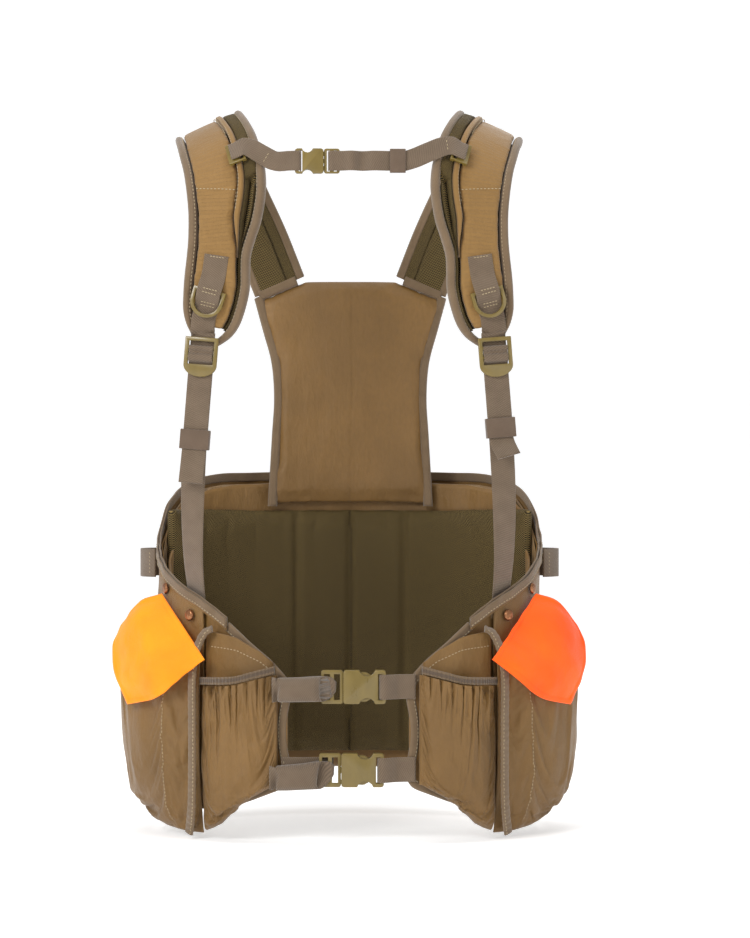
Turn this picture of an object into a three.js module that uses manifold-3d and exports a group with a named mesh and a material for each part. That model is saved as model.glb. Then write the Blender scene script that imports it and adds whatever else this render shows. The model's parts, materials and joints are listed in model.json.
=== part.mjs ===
// Strap vest: two padded shoulder straps on a yoke, a wrap-round game bag, and two pocket sets
// that close across the waist with side-release buckles.
// Millimetres, +Z up. The wearer faces -Y, and the wearer's left is +X.
import * as THREE from 'three';
import Module from 'manifold-3d';
import { mergeVertices } from 'three/addons/utils/BufferGeometryUtils.js';

const wasm = await Module();
wasm.setup();

// ---------------------------------------------------------------- driving dimensions

const SHOULDER_LEVEL = 700;          // height of the origin above the lowest pocket corner
const TORSO = { halfWidth: 188, halfDepth: 125 };
const CLEARANCE = 0.4;               // gap between pieces that touch
const LAYER_GAP = 1.3;               // gap between curved layers, over their flats
const RAIL_HEIGHT = 2.6;             // how far the sternum strap's rail stands off the strap

const STRAP = { backing: 2, foam: 5.4, face: 1.5, bindingWidth: 9.6, meshWidth: 10.2, pipingWidth: 6.6 };
const STRAP_STEPS = 26;
const STRAP_LAYER_GAP = 0.8;
const PADDING_FROM = 0.075;          // the strap's tip, below this, is only its binding
const MESH_STARTS = 0.24;            // where the mesh strip opens out of the inner binding
const MESH_FULL = 0.34;
const MESH_STEP = 0.3;               // how far the mesh takes to step up
const BINDING_TIP = 0.08;            // share of the binding's length that goes round the tip
const WAIST_WEBBING = { width: 25, thickness: 1.5 };
const STERNUM_WEBBING = { width: 20, thickness: 1.4 };
const ADJUSTER_WEBBING = { width: 25, thickness: 1.5 };

const D_RING = { width: 34, drop: 27, wire: 3.5 };
const LADDER_LOCK = { border: 4, length: 40, thickness: 3.4, bar: 2.8, window: 23.4 };
const LOCK_TOP = 6.4;                // the lock window's top, above its first bar
const SECOND_BAR = -9.6;
const LOCK_WIDTH = ADJUSTER_WEBBING.width + 1 + 2 * LADDER_LOCK.border;
const LOCK_AT = [148, -134, 497.5];  // the first bar of the left lock
const KEEPER_HEIGHT = 20;
const WAIST_BUCKLE = { femaleLength: 43, frameLength: 22, height: 34, thickness: 11 };
const STERNUM_BUCKLE = { femaleLength: 29, frameLength: 16, height: 25, thickness: 9 };
const BUCKLE_WALL = 1.4;
const BUCKLE_RIM = 4;                // plastic past the webbing, at the female half's end
const BUCKLE_END = 3;                // plastic past the webbing, at each end of the male half's frame
const BUCKLE_BAR = 4;                // the male half's bar
const SLOT_ROOM = 0.6;               // beyond each edge of the webbing in a slot

const SIDE_PANEL_THICKNESS = 2.5;
const BACK_PADDING = 11;
const BACK_FOOT = 62;
const BACK_TOP = 334;                // where the back panel ends and the yoke begins
const BAG_WALL = 1.8;
const REAR_POUCH_DEPTH = 9;
const POUCH_WALL = 1.8;
const ELASTIC_HEIGHT = 9;
const RIM_BINDING = { height: 9.5, thickness: 3.6 };
const SEAM_BINDING = { width: 10.5, thickness: 3 };
const FLAP_THICKNESS = 2.2;
const SNAP = { radius: 6, height: 3.2 };

// Waist straps, by the height of their middles.
const WAIST_STRAPS = [
  { name: 'upper', z: 155, x: -5, droop: 3 },
  { name: 'lower', z: 71, x: -7, droop: 9 },
];
const WAIST_Y = -129;
const PANEL_EDGE_X = 64;             // where the webbing is sewn to the panels' front edges

// The sternum strap. Its female half ends at x.
const STERNUM = { x: -54, y: -128, z: 686, keeperX: 50 };
const SLIDER_AT = 0.46;              // along the shoulder strap
const SLIDER_HALF = 9;
const SLIDER_WINDOW = [-6.4, -2.6];

// Angles round the torso, in degrees from straight ahead towards the wearer's left.
const RIM_FROM = 40;
const PANEL_FROM = 19;
const PANEL_TO = 98;
const POUCH_FROM = 22;
const POUCH_TO = 47.4;
const BAG_FROM = 50;
const POCKET_FROM = 50.4;
const POCKET_TO = 118;
const POCKET_TOP = 182;

// ---------------------------------------------------------------- materials

function finish(color, roughness, metalness = 0) {
  return new THREE.MeshStandardMaterial({ color, roughness, metalness });
}

const FACE_FABRIC = finish(0xb08448, 0.75);
const SHELL_FABRIC = finish(0x96703e, 0.7);
const LINING = finish(0x8d7348, 0.45);
const BINDING = finish(0x8d7a5c, 0.85);
const WEBBING = finish(0x897460, 0.85);
const ELASTIC = finish(0x6e5a44, 0.9);
const MESH_FABRIC = finish(0x3b3420, 0.9);
const FOAM = finish(0x55524c, 0.95);
const BLAZE = finish(0xff6a00, 0.6);
const PLASTIC = finish(0x82682a, 0.4);
const BRASS = finish(0xb0703c, 0.3, 0.9);

// ---------------------------------------------------------------- small helpers

const vec = (x, y, z) => new THREE.Vector3(x, y, z);
const curveThrough = (points) => new THREE.CatmullRomCurve3(points.map((p) => vec(...p)));

// Value through [position, value] pairs, held flat past both ends. Two pairs alone are joined
// by a smooth step, and more by straight lines.
function profile(pairs) {
  const smooth = pairs.length === 2;
  return (x) => {
    if (x <= pairs[0][0]) return pairs[0][1];
    for (let i = 1; i < pairs.length; i += 1) {
      const [x0, y0] = pairs[i - 1];
      const [x1, y1] = pairs[i];
      const share = (x - x0) / (x1 - x0);
      if (x <= x1) return y0 + (y1 - y0) * (smooth ? share * share * (3 - 2 * share) : share);
    }
    return pairs[pairs.length - 1][1];
  };
}

function signedVolume(geometry) {
  const position = geometry.getAttribute('position');
  const index = geometry.getIndex();
  const corner = (k) => new THREE.Vector3().fromBufferAttribute(position, index.getX(k));
  let sum = 0;
  for (let k = 0; k < index.count; k += 3) {
    sum += corner(k).dot(corner(k + 1).cross(corner(k + 2)));
  }
  return sum / 6;
}

function faceOut(geometry) {
  if (signedVolume(geometry) >= 0) return geometry;
  const index = geometry.getIndex();
  for (let k = 0; k < index.count; k += 3) {
    const first = index.getX(k);
    index.setX(k, index.getX(k + 1));
    index.setX(k + 1, first);
  }
  return geometry;
}

// Only positions, with shared corners merged, so that the mesh is one closed skin.
function weld(geometry) {
  const bare = geometry.clone();
  bare.deleteAttribute('normal');
  bare.deleteAttribute('uv');
  return faceOut(mergeVertices(bare, 1e-3));
}

// A unit block, divided across and along, with every corner put where place() says.
// across, along and through all run from 0 to 1.
function slab(acrossCount, alongCount, place) {
  const block = weld(new THREE.BoxGeometry(1, 1, 1, acrossCount, alongCount, 1));
  const position = block.getAttribute('position');
  for (let k = 0; k < position.count; k += 1) {
    const p = place(position.getX(k) + 0.5, position.getY(k) + 0.5, position.getZ(k) + 0.5);
    position.setXYZ(k, p.x, p.y, p.z);
  }
  return faceOut(block);
}

function solidOf(geometry) {
  const skin = weld(geometry);
  const vertProperties = new Float32Array(skin.getAttribute('position').array);
  const triVerts = new Uint32Array(skin.getIndex().array);
  return new wasm.Manifold(new wasm.Mesh({ numProp: 3, vertProperties, triVerts }));
}

function geometryOf(solid) {
  const mesh = solid.getMesh();
  const geometry = new THREE.BufferGeometry();
  geometry.setAttribute('position', new THREE.BufferAttribute(mesh.vertProperties, 3));
  geometry.setIndex(new THREE.BufferAttribute(mesh.triVerts, 1));
  return geometry;
}

function cut(body, ...tools) {
  return geometryOf(tools.reduce((solid, tool) => solid.subtract(solidOf(tool)), solidOf(body)));
}

function join(first, ...others) {
  return geometryOf(others.reduce((solid, other) => solid.add(solidOf(other)), solidOf(first)));
}

function block(x0, x1, y0, y1, z0, z1) {
  const box = new THREE.BoxGeometry(x1 - x0, y1 - y0, z1 - z0);
  return box.translate((x0 + x1) / 2, (y0 + y1) / 2, (z0 + z1) / 2);
}

function extruded(shape, depth, curveSegments = 10) {
  return new THREE.ExtrudeGeometry(shape, { depth, bevelEnabled: false, curveSegments });
}

function roundedOutline(width, height, radius) {
  const w = width / 2;
  const h = height / 2;
  const shape = new THREE.Shape();
  shape.moveTo(-w + radius, -h);
  shape.lineTo(w - radius, -h);
  shape.absarc(w - radius, -h + radius, radius, -Math.PI / 2, 0);
  shape.lineTo(w, h - radius);
  shape.absarc(w - radius, h - radius, radius, 0, Math.PI / 2);
  shape.lineTo(-w + radius, h);
  shape.absarc(-w + radius, h - radius, radius, Math.PI / 2, Math.PI);
  shape.lineTo(-w, -h + radius);
  shape.absarc(-w + radius, -h + radius, radius, Math.PI, Math.PI * 1.5);
  return shape;
}

// Flat webbing along a curve. acrossAt(t) is the direction of its width.
function ribbon(curve, tape, steps, acrossAt) {
  return slab(1, steps, (a, t, c) => {
    const along = curve.getTangent(t);
    const across = acrossAt(t).clone().addScaledVector(along, -acrossAt(t).dot(along)).normalize();
    const outward = across.clone().cross(along);
    return curve.getPoint(t)
      .addScaledVector(across, (a - 0.5) * tape.width)
      .addScaledVector(outward, (c - 0.5) * tape.thickness);
  });
}

// A geometry modelled for the wearer's left, turned over for the right when side is -1.
function onSide(geometry, side) {
  return faceOut(weld(geometry).scale(side, 1, 1));
}

// A point on the torso's outline, moved out by offset; angle is in degrees from straight ahead.
function hug(angle, z, offset) {
  const a = THREE.MathUtils.degToRad(angle);
  const out = vec(Math.sin(a) / TORSO.halfWidth, -Math.cos(a) / TORSO.halfDepth, 0).normalize();
  return vec(TORSO.halfWidth * Math.sin(a), -TORSO.halfDepth * Math.cos(a), z).addScaledVector(out, offset);
}

const vest = new THREE.Group();
const body = new THREE.Group();
body.position.z = -SHOULDER_LEVEL;
vest.add(body);

function node(name, geometry, material) {
  const mesh = new THREE.Mesh(weld(geometry), material);
  mesh.name = name;
  body.add(mesh);
}

// ---------------------------------------------------------------- shoulder straps

// The two edges of the left strap's underside, from the front tip, over the shoulder, to the yoke.
const STRAP_OUTER = curveThrough([
  [154, -111, 508], [165, -113, 531], [165, -116, 565], [161, -115, 602], [161, -110, 636],
  [165, -101, 667], [172, -78, 692], [177, -42, 706], [178, 0, 708], [168, 44, 694],
  [148, 80, 660], [124, 102, 612], [104, 114, 562],
]);
const STRAP_INNER = curveThrough([
  [131, -115, 499], [112, -122, 515], [99, -128, 553], [97, -130, 590], [86, -128, 628],
  [82, -122, 668], [91, -100, 708], [104, -56, 733], [110, 0, 740], [106, 48, 722],
  [92, 82, 684], [70, 102, 636], [50, 112, 585],
]);

function strapPoint(u, v) {
  return STRAP_OUTER.getPoint(v).lerp(STRAP_INNER.getPoint(v), u);
}

function strapNormal(u, v) {
  const h = 0.004;
  const low = Math.max(v - h, 0);
  const high = Math.min(v + h, 1);
  const up = strapPoint(u, high).sub(strapPoint(u, low));
  const inward = strapPoint(1, v).sub(strapPoint(0, v));
  return up.cross(inward).normalize();
}

function onStrap(u, v, height) {
  return strapPoint(u, v).addScaledVector(strapNormal(u, v), height);
}

const strapWidth = (v) => STRAP_OUTER.getPoint(v).distanceTo(STRAP_INNER.getPoint(v));
const acrossShare = (v, distance) => distance / strapWidth(v);
const crown = (u) => 1 + 0.6 * u * (1 - u);
const bindingShare = (v) => Math.min(acrossShare(v, STRAP.bindingWidth), 0.42);
const meshOpening = profile([[MESH_STARTS, 0.05], [MESH_FULL, 1]]);

const FOAM_FROM = STRAP.backing + STRAP_LAYER_GAP;
const FACE_FROM = FOAM_FROM + STRAP.foam + STRAP_LAYER_GAP;
const STRAP_TOP = FACE_FROM + STRAP.face;

// Where the strap's face panel ends on the neck side, as shares of the width.
function neckSide(v) {
  const edge = 1 - bindingShare(v) - acrossShare(v, STRAP_LAYER_GAP);
  const meshInner = edge - acrossShare(v, STRAP.meshWidth * meshOpening(v));
  const pipingOuter = meshInner - acrossShare(v, STRAP_LAYER_GAP);
  const pipingInner = pipingOuter - acrossShare(v, STRAP.pipingWidth * meshOpening(v));
  return { edge, meshInner, pipingOuter, pipingInner, face: pipingInner - acrossShare(v, STRAP_LAYER_GAP) };
}

function strapLayer(from, to, low, high, alongFrom = 0, alongTo = 1, columns = 3) {
  return slab(columns, STRAP_STEPS, (a, b, c) => {
    const v = alongFrom + (alongTo - alongFrom) * b;
    const u = from(v) + (to(v) - from(v)) * a;
    const height = low + (high - low) * c;
    return onStrap(u, v, height * (low === 0 && c === 0 ? 0 : crown(u)));
  });
}

// The binding runs down one edge, across the tip and up the other edge.
function strapBinding() {
  const tip = BINDING_TIP;
  return slab(1, 2 * STRAP_STEPS + 6, (a, b, c) => {
    const t = 2 * b - 1;
    const height = -0.4 + (STRAP_TOP + 1.2) * c;
    const v = Math.max(0, (Math.abs(t) - tip) / (1 - tip));
    const share = bindingShare(v) * a;
    const u = Math.abs(t) > tip ? (t < 0 ? share : 1 - share) : 0.5 + (0.5 - share) * (t / tip);
    const lift = Math.abs(t) > tip ? 0 : a * 0.008;
    return onStrap(u, Math.max(v, lift), height);
  });
}

// The backing is thin under the foam, and steps up to the strap's full height on the neck side.
function strapMesh() {
  return slab(3, STRAP_STEPS, (a, b, c) => {
    const v = PADDING_FROM + (1 - PADDING_FROM) * b;
    const from = bindingShare(v) + acrossShare(v, STRAP_LAYER_GAP);
    const neck = neckSide(v);
    const foot = neck.meshInner - acrossShare(v, MESH_STEP);
    const column = Math.round(3 * a);
    const u = [from, foot, neck.meshInner + 0.001, neck.edge][column];
    const raised = column >= 2;
    const top = raised ? STRAP_TOP * crown(u) : STRAP.backing;
    return onStrap(u, v, top * c);
  });
}

// Places a flat fitting on the strap: x across, y up the strap, z away from the body.
function strapFrame(origin, down, outward) {
  const up = down.clone().negate().normalize();
  const across = up.clone().cross(outward).normalize();
  return new THREE.Matrix4().makeBasis(across, up, outward.clone().normalize()).setPosition(origin);
}

function dRing() {
  const half = D_RING.width / 2;
  const arcCentre = -(D_RING.drop - half);
  const outline = new THREE.Shape();
  outline.moveTo(half, D_RING.wire / 2);
  outline.lineTo(-half, D_RING.wire / 2);
  outline.lineTo(-half, arcCentre);
  outline.absarc(0, arcCentre, half, Math.PI, Math.PI * 2);
  const gap = half - D_RING.wire;
  const hole = new THREE.Path();
  hole.moveTo(gap, -D_RING.wire / 2);
  hole.lineTo(-gap, -D_RING.wire / 2);
  hole.lineTo(-gap, arcCentre);
  hole.absarc(0, arcCentre, gap, Math.PI, Math.PI * 2);
  outline.holes.push(hole);
  return extruded(outline, D_RING.wire, 12).translate(0, 0, -D_RING.wire / 2);
}

// Ladder lock: a frame with two inner bars, and a lever tab below. Its origin is the first bar.
function ladderLock() {
  const windowBottom = LOCK_TOP - LADDER_LOCK.window;
  const bottom = LOCK_TOP + LADDER_LOCK.border - LADDER_LOCK.length;
  const half = LOCK_WIDTH / 2;
  const outline = new THREE.Shape();
  outline.moveTo(-half, LOCK_TOP + LADDER_LOCK.border);
  outline.lineTo(-half, windowBottom - 1);
  outline.absellipse(0, windowBottom - 1, half, windowBottom - 1 - bottom, Math.PI, Math.PI * 2);
  outline.lineTo(half, LOCK_TOP + LADDER_LOCK.border);
  const plate = extruded(outline, LADDER_LOCK.thickness, 10).translate(0, 0, -LADDER_LOCK.thickness / 2);
  const reach = ADJUSTER_WEBBING.width / 2 + 0.5;
  const openings = [
    [LADDER_LOCK.bar / 2, LOCK_TOP],
    [SECOND_BAR + LADDER_LOCK.bar / 2, -LADDER_LOCK.bar / 2],
    [windowBottom, SECOND_BAR - LADDER_LOCK.bar / 2],
  ];
  return cut(plate, ...openings.map(([low, high]) => block(-reach, reach, low, high, -9, 9)));
}

function buildStrap(side, label, tail) {
  const name = (piece) => `${piece}_${label}`;
  const put = (piece, geometry, material) => node(name(piece), onSide(geometry, side), material);
  const from = (v) => bindingShare(v) + acrossShare(v, STRAP_LAYER_GAP);

  put('strap_mesh_lining', strapMesh(), MESH_FABRIC);
  const to = (v) => neckSide(v).face;
  put('strap_foam', strapLayer(from, to, FOAM_FROM, FOAM_FROM + STRAP.foam, PADDING_FROM), FOAM);
  put('strap_face', strapLayer(from, to, FACE_FROM, STRAP_TOP, PADDING_FROM), FACE_FABRIC);
  put('strap_piping', strapLayer(
    (v) => neckSide(v).pipingInner, (v) => neckSide(v).pipingOuter,
    STRAP.backing + STRAP_LAYER_GAP, STRAP_TOP + RAIL_HEIGHT, MESH_STARTS, 1, 1), FACE_FABRIC);
  put('strap_binding', strapBinding(), BINDING);

  // Anchor webbing: over the D-ring's bar, under its bow, then round the lock's first bar.
  const half = ADJUSTER_WEBBING.thickness / 2;
  const faceTop = STRAP_TOP * 1.15 + 2 * CLEARANCE;
  const tape = faceTop + half;
  const overTape = faceTop + 2 * half + CLEARANCE + D_RING.wire / 2;
  const ringOrigin = onStrap(0.44, 0.156, faceTop + D_RING.wire * 0.75);
  const ringDown = onStrap(0.39, 0.09, overTape + 3.1).sub(ringOrigin);
  const ringFrame = strapFrame(ringOrigin, ringDown, strapNormal(0.4, 0.12));
  const ringTop = (up) => vec(0, up, D_RING.wire / 2 + 3.5 * CLEARANCE + half).applyMatrix4(ringFrame);
  const lockOrigin = vec(...LOCK_AT);
  const lockDown = vec(0.08, 0, -1).normalize();
  const lockOut = vec(0.17, -0.985, 0).normalize();
  const lockFrame = strapFrame(lockOrigin, lockDown, lockOut);
  const lockPoint = (up, out) => vec(0, up, out).applyMatrix4(lockFrame);
  const round = LADDER_LOCK.bar / 2 + 1 + half;

  const anchor = new THREE.CatmullRomCurve3([
    onStrap(0.5, 0.236, tape),
    onStrap(0.47, 0.192, tape + 0.2),
    ringTop(2),
    ringTop(-2),
    onStrap(0.42, 0.122, tape + 0.3),
    onStrap(0.4, 0.09, tape),
    onStrap(0.42, 0.05, tape + 1.7),
    lockPoint(14, -round + 0.5),
    lockPoint(8, -round - 0.1),
    lockPoint(1, -round),
    lockPoint(-round * 0.85, -round * 0.62),
    lockPoint(-round * 0.85, round * 0.62),
    lockPoint(1.6, round),
  ]);
  const upright = new THREE.Vector3().setFromMatrixColumn(lockFrame, 0);
  const ringAcross = new THREE.Vector3().setFromMatrixColumn(ringFrame, 0);
  put('anchor_webbing', ribbon(anchor, ADJUSTER_WEBBING, 32, (t) => ringAcross.clone()
    .lerp(upright, THREE.MathUtils.smoothstep(t, 0.5, 0.8))), WEBBING);
  put('d_ring', dRing().applyMatrix4(ringFrame), PLASTIC);
  put('ladder_lock', ladderLock().applyMatrix4(lockFrame), PLASTIC);

  // Adjuster webbing: free tail, up behind the tab, over the second bar, and down to the bag.
  const layer = ADJUSTER_WEBBING.thickness + 0.9;
  const behind = -(LADDER_LOCK.thickness / 2 + CLEARANCE + half);
  const adjuster = new THREE.CatmullRomCurve3([
    vec(...tail.end),
    lockPoint(tail.keeperDrop - 12, behind),
    lockPoint(tail.keeperDrop + 12, behind),
    lockPoint(-34, behind),
    lockPoint(-20, behind),
    lockPoint(-17.2, behind - 0.2),
    lockPoint(-14.2, -0.9),
    lockPoint(SECOND_BAR - round, round * 0.66),
    lockPoint(SECOND_BAR - 1, round),
    lockPoint(SECOND_BAR + 2.2, round * 0.86),
    lockPoint(SECOND_BAR + round + 0.4, 0),
    lockPoint(SECOND_BAR + 2.4, behind - 1.4),
    lockPoint(SECOND_BAR - 6, behind - layer),
    lockPoint(-34, behind - layer),
    lockPoint(tail.keeperDrop + 12, behind - layer),
    lockPoint(tail.keeperDrop - 12, behind - layer),
    vec(158, -116, 345),
    vec(159, -90, 285),
    hug(58, 240, -3.8),
  ]);
  const alongWaist = hug(60, 240, 0).sub(hug(56, 240, 0)).normalize();
  put('adjuster_webbing', ribbon(adjuster, ADJUSTER_WEBBING, 60, (t) => upright.clone()
    .lerp(alongWaist, THREE.MathUtils.smoothstep(t, 0.84, 1))), WEBBING);

  // Keeper: an elastic sleeve round the tail and the webbing behind it.
  const sleeve = new THREE.BoxGeometry(ADJUSTER_WEBBING.width + 5, KEEPER_HEIGHT, 2 * layer + 3.6);
  const hollow = new THREE.BoxGeometry(ADJUSTER_WEBBING.width + 1.6, 2 * KEEPER_HEIGHT, 2 * layer + 0.8);
  const keeperFrame = strapFrame(lockPoint(tail.keeperDrop, behind - layer / 2), lockDown, lockOut);
  put('adjuster_keeper', cut(sleeve, hollow).applyMatrix4(keeperFrame), ELASTIC);
}

buildStrap(-1, 'right', { end: [159, -135, 361], keeperDrop: -93 });
buildStrap(1, 'left', { end: [162, -139, 388], keeperDrop: -81 });

// ---------------------------------------------------------------- side-release buckles

// The female half takes the prongs at x = 0 and holds its webbing on a bar at the far end.
function webbingSlot(size, tape) {
  const end = size.femaleLength - BUCKLE_RIM;
  return [end - 2.6 * tape.thickness, end];
}

const cavityDepth = (size, tape) => webbingSlot(size, tape)[0] - 4.5;

function buckleFemale(size, tape) {
  const { femaleLength: length, height, thickness } = size;
  const shell = extruded(roundedOutline(length, height, 3), thickness, 4);
  shell.translate(length / 2, 0, -thickness / 2);
  const reach = height / 2 - BUCKLE_WALL;
  const [slotStart, slotEnd] = webbingSlot(size, tape);
  const cavity = block(-1, cavityDepth(size, tape), -reach, reach, -thickness / 2 + 2, thickness / 2 - 2);
  const slotReach = tape.width / 2 + SLOT_ROOM;
  const slot = block(slotStart, slotEnd, -slotReach, slotReach, -thickness, thickness);
  const bite = (side) => new THREE.CylinderGeometry(length * 0.2, length * 0.2, 2 * thickness, 14)
    .rotateX(Math.PI / 2)
    .translate(length * 0.56, side * (height / 2 + length * 0.06), 0);
  return cut(shell, cavity, slot, bite(1), bite(-1));
}

// The male half: a frame with one bar for the webbing, a centre tongue and two latch arms.
function buckleMale(size, tape) {
  const { frameLength, height, thickness } = size;
  const depth = thickness - 4 - 2 * CLEARANCE;
  const frame = extruded(roundedOutline(frameLength, height, 2.5), depth, 4);
  frame.translate(-frameLength / 2 - CLEARANCE, 0, -depth / 2);
  const reach = tape.width / 2 + SLOT_ROOM;
  const inner = frameLength - 2 * BUCKLE_END;
  const near = -CLEARANCE - BUCKLE_END;
  const slots = [
    [near - (inner - BUCKLE_BAR) / 2, near],
    [near - inner, near - (inner + BUCKLE_BAR) / 2],
  ];
  const armReach = height / 2 - BUCKLE_WALL - CLEARANCE;
  const armLength = cavityDepth(size, tape) - 1.5;
  const arm = (side) => {
    const outline = new THREE.Shape();
    outline.moveTo(-1.5, side * (armReach - 5.5));
    outline.lineTo(-1.5, side * (armReach - 1.2));
    outline.lineTo(armLength * 0.45, side * (armReach - 1.8));
    outline.quadraticCurveTo(armLength * 0.62, side * (armReach + 0.2),
      armLength * 0.8, side * (armReach - 0.6));
    outline.lineTo(armLength, side * (armReach - 4));
    outline.lineTo(armLength * 0.8, side * (armReach - 5.5));
    return extruded(outline, depth - 0.6, 4).translate(0, 0, -depth / 2 + 0.3);
  };
  const tongueHalf = height * 0.09;
  const tongue = block(-1.5, armLength * 0.86, -tongueHalf, tongueHalf, -depth / 2 + 0.3, depth / 2 - 0.3);
  const whole = join(frame, tongue, arm(1), arm(-1));
  return cut(whole, ...slots.map(([low, high]) => block(low, high, -reach, reach, -thickness, thickness)));
}

// x points from the male half to the female half; the width of the webbing stands along Z.
function buckleFrame(origin, towardsFemale) {
  const x = vec(towardsFemale, 0, 0);
  const z = vec(0, -1, 0);
  return new THREE.Matrix4().makeBasis(x, z.clone().cross(x), z).setPosition(origin);
}

const UP = vec(0, 0, 1);

function levelRibbon(points, tape, steps) {
  return ribbon(curveThrough(points), tape, steps, () => UP);
}

// ---------------------------------------------------------------- sternum strap

function sliderFrame() {
  const { pipingInner, pipingOuter } = neckSide(SLIDER_AT);
  const u = (pipingInner + pipingOuter) / 2;
  const rail = onStrap(u, SLIDER_AT, (STRAP_TOP + RAIL_HEIGHT) * crown(u));
  const down = STRAP_INNER.getTangent(SLIDER_AT).add(STRAP_OUTER.getTangent(SLIDER_AT)).negate();
  return strapFrame(rail, down, strapNormal(u, SLIDER_AT));
}

// A clip that straddles the rail, with a window for the sternum webbing.
function sternumSlider() {
  const half = STERNUM_WEBBING.width / 2 + 2.5;
  const reach = STERNUM_WEBBING.width / 2 + SLOT_ROOM;
  const leg = STRAP.pipingWidth / 2 + 1.6;
  const plate = block(-SLIDER_HALF, SLIDER_HALF, -half, half, 1, 4);
  const legs = [[-SLIDER_HALF, -leg], [leg, SLIDER_HALF]]
    .map(([from, to]) => block(from, to, -half, half, -0.6, 1.2));
  const window = block(...SLIDER_WINDOW, -reach, reach, -9, 9);
  return cut(join(plate, ...legs), window).applyMatrix4(sliderFrame());
}

function buildSternum() {
  const { width, thickness } = STERNUM_WEBBING;
  const mouth = STERNUM.x + STERNUM_BUCKLE.femaleLength;
  const frame = buckleFrame(vec(mouth, STERNUM.y, STERNUM.z), -1);
  const put = (piece, geometry, material) => node(`sternum_${piece}`, geometry, material);
  put('buckle_female', buckleFemale(STERNUM_BUCKLE, STERNUM_WEBBING).applyMatrix4(frame), PLASTIC);
  put('buckle_male', buckleMale(STERNUM_BUCKLE, STERNUM_WEBBING).applyMatrix4(frame), PLASTIC);
  put('slider_right', onSide(sternumSlider(), -1), PLASTIC);
  put('slider_left', onSide(sternumSlider(), 1), PLASTIC);

  const clip = sliderFrame();
  const clipUp = new THREE.Vector3().setFromMatrixColumn(clip, 1);
  const clipBar = (side, x, out) => {
    const p = vec(x, 0, out).applyMatrix4(clip);
    return vec(side * p.x, p.y, p.z);
  };
  const twist = (side, from, to) => (t) => {
    const tilted = vec(side * clipUp.x, clipUp.y, clipUp.z);
    return UP.clone().lerp(tilted, THREE.MathUtils.smoothstep(t, from, to));
  };
  const above = 4 + 5 * CLEARANCE + thickness / 2;

  // Right side: a short fixed length from the clip to the female half's bar.
  const slot = STERNUM.x + BUCKLE_RIM + 1.3 * thickness;
  put('webbing_right', ribbon(curveThrough([
    [slot, STERNUM.y + 1.2, STERNUM.z],
    [slot - 0.6, STERNUM.y - STERNUM_BUCKLE.thickness / 2 - 0.2, STERNUM.z],
    [slot - 5, STERNUM.y - STERNUM_BUCKLE.thickness / 2 - CLEARANCE - 0.9, STERNUM.z],
    [slot - 12, STERNUM.y - 4, STERNUM.z],
    [STERNUM.x - 20, STERNUM.y - 2, STERNUM.z],
    clipBar(-1, -12, above).toArray(),
    clipBar(-1, -1.4, above).toArray(),
    clipBar(-1, 5, above).toArray(),
  ]), { width, thickness }, 22, twist(-1, 0.5, 0.85)), WEBBING);

  // Left side: over the male half's bar, then a slack run with its folded tail, to the other clip.
  const bar = mouth + CLEARANCE + STERNUM_BUCKLE.frameLength / 2;
  put('webbing_left', ribbon(curveThrough([
    [bar - 3.2, STERNUM.y, STERNUM.z],
    [bar - 2.4, STERNUM.y - 3.6, STERNUM.z],
    [bar + 2.4, STERNUM.y - 3.6, STERNUM.z],
    [bar + 9.5, STERNUM.y - 3.8, STERNUM.z],
    [bar + 20, STERNUM.y - 7.5, STERNUM.z],
    [bar + 31, STERNUM.y - 1.5, STERNUM.z],
    [bar + 42, STERNUM.y - 6, STERNUM.z],
    [STERNUM.keeperX - 8, STERNUM.y - 3, STERNUM.z],
    [STERNUM.keeperX + 8, STERNUM.y - 3, STERNUM.z],
    clipBar(1, -14, above + 0.6).toArray(),
    clipBar(1, -1.4, above).toArray(),
    clipBar(1, 5, above).toArray(),
  ]), { width, thickness }, 40, twist(1, 0.72, 0.92)), WEBBING);

  const sleeve = new THREE.BoxGeometry(16, 3.4 * thickness + 1.6, width + 4);
  const hollow = new THREE.BoxGeometry(30, 3.4 * thickness - 1.2, width + 1.6);
  put('keeper', cut(sleeve, hollow).translate(STERNUM.keeperX, STERNUM.y - 3, STERNUM.z), ELASTIC);
}

buildSternum();

// ---------------------------------------------------------------- waist straps

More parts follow.
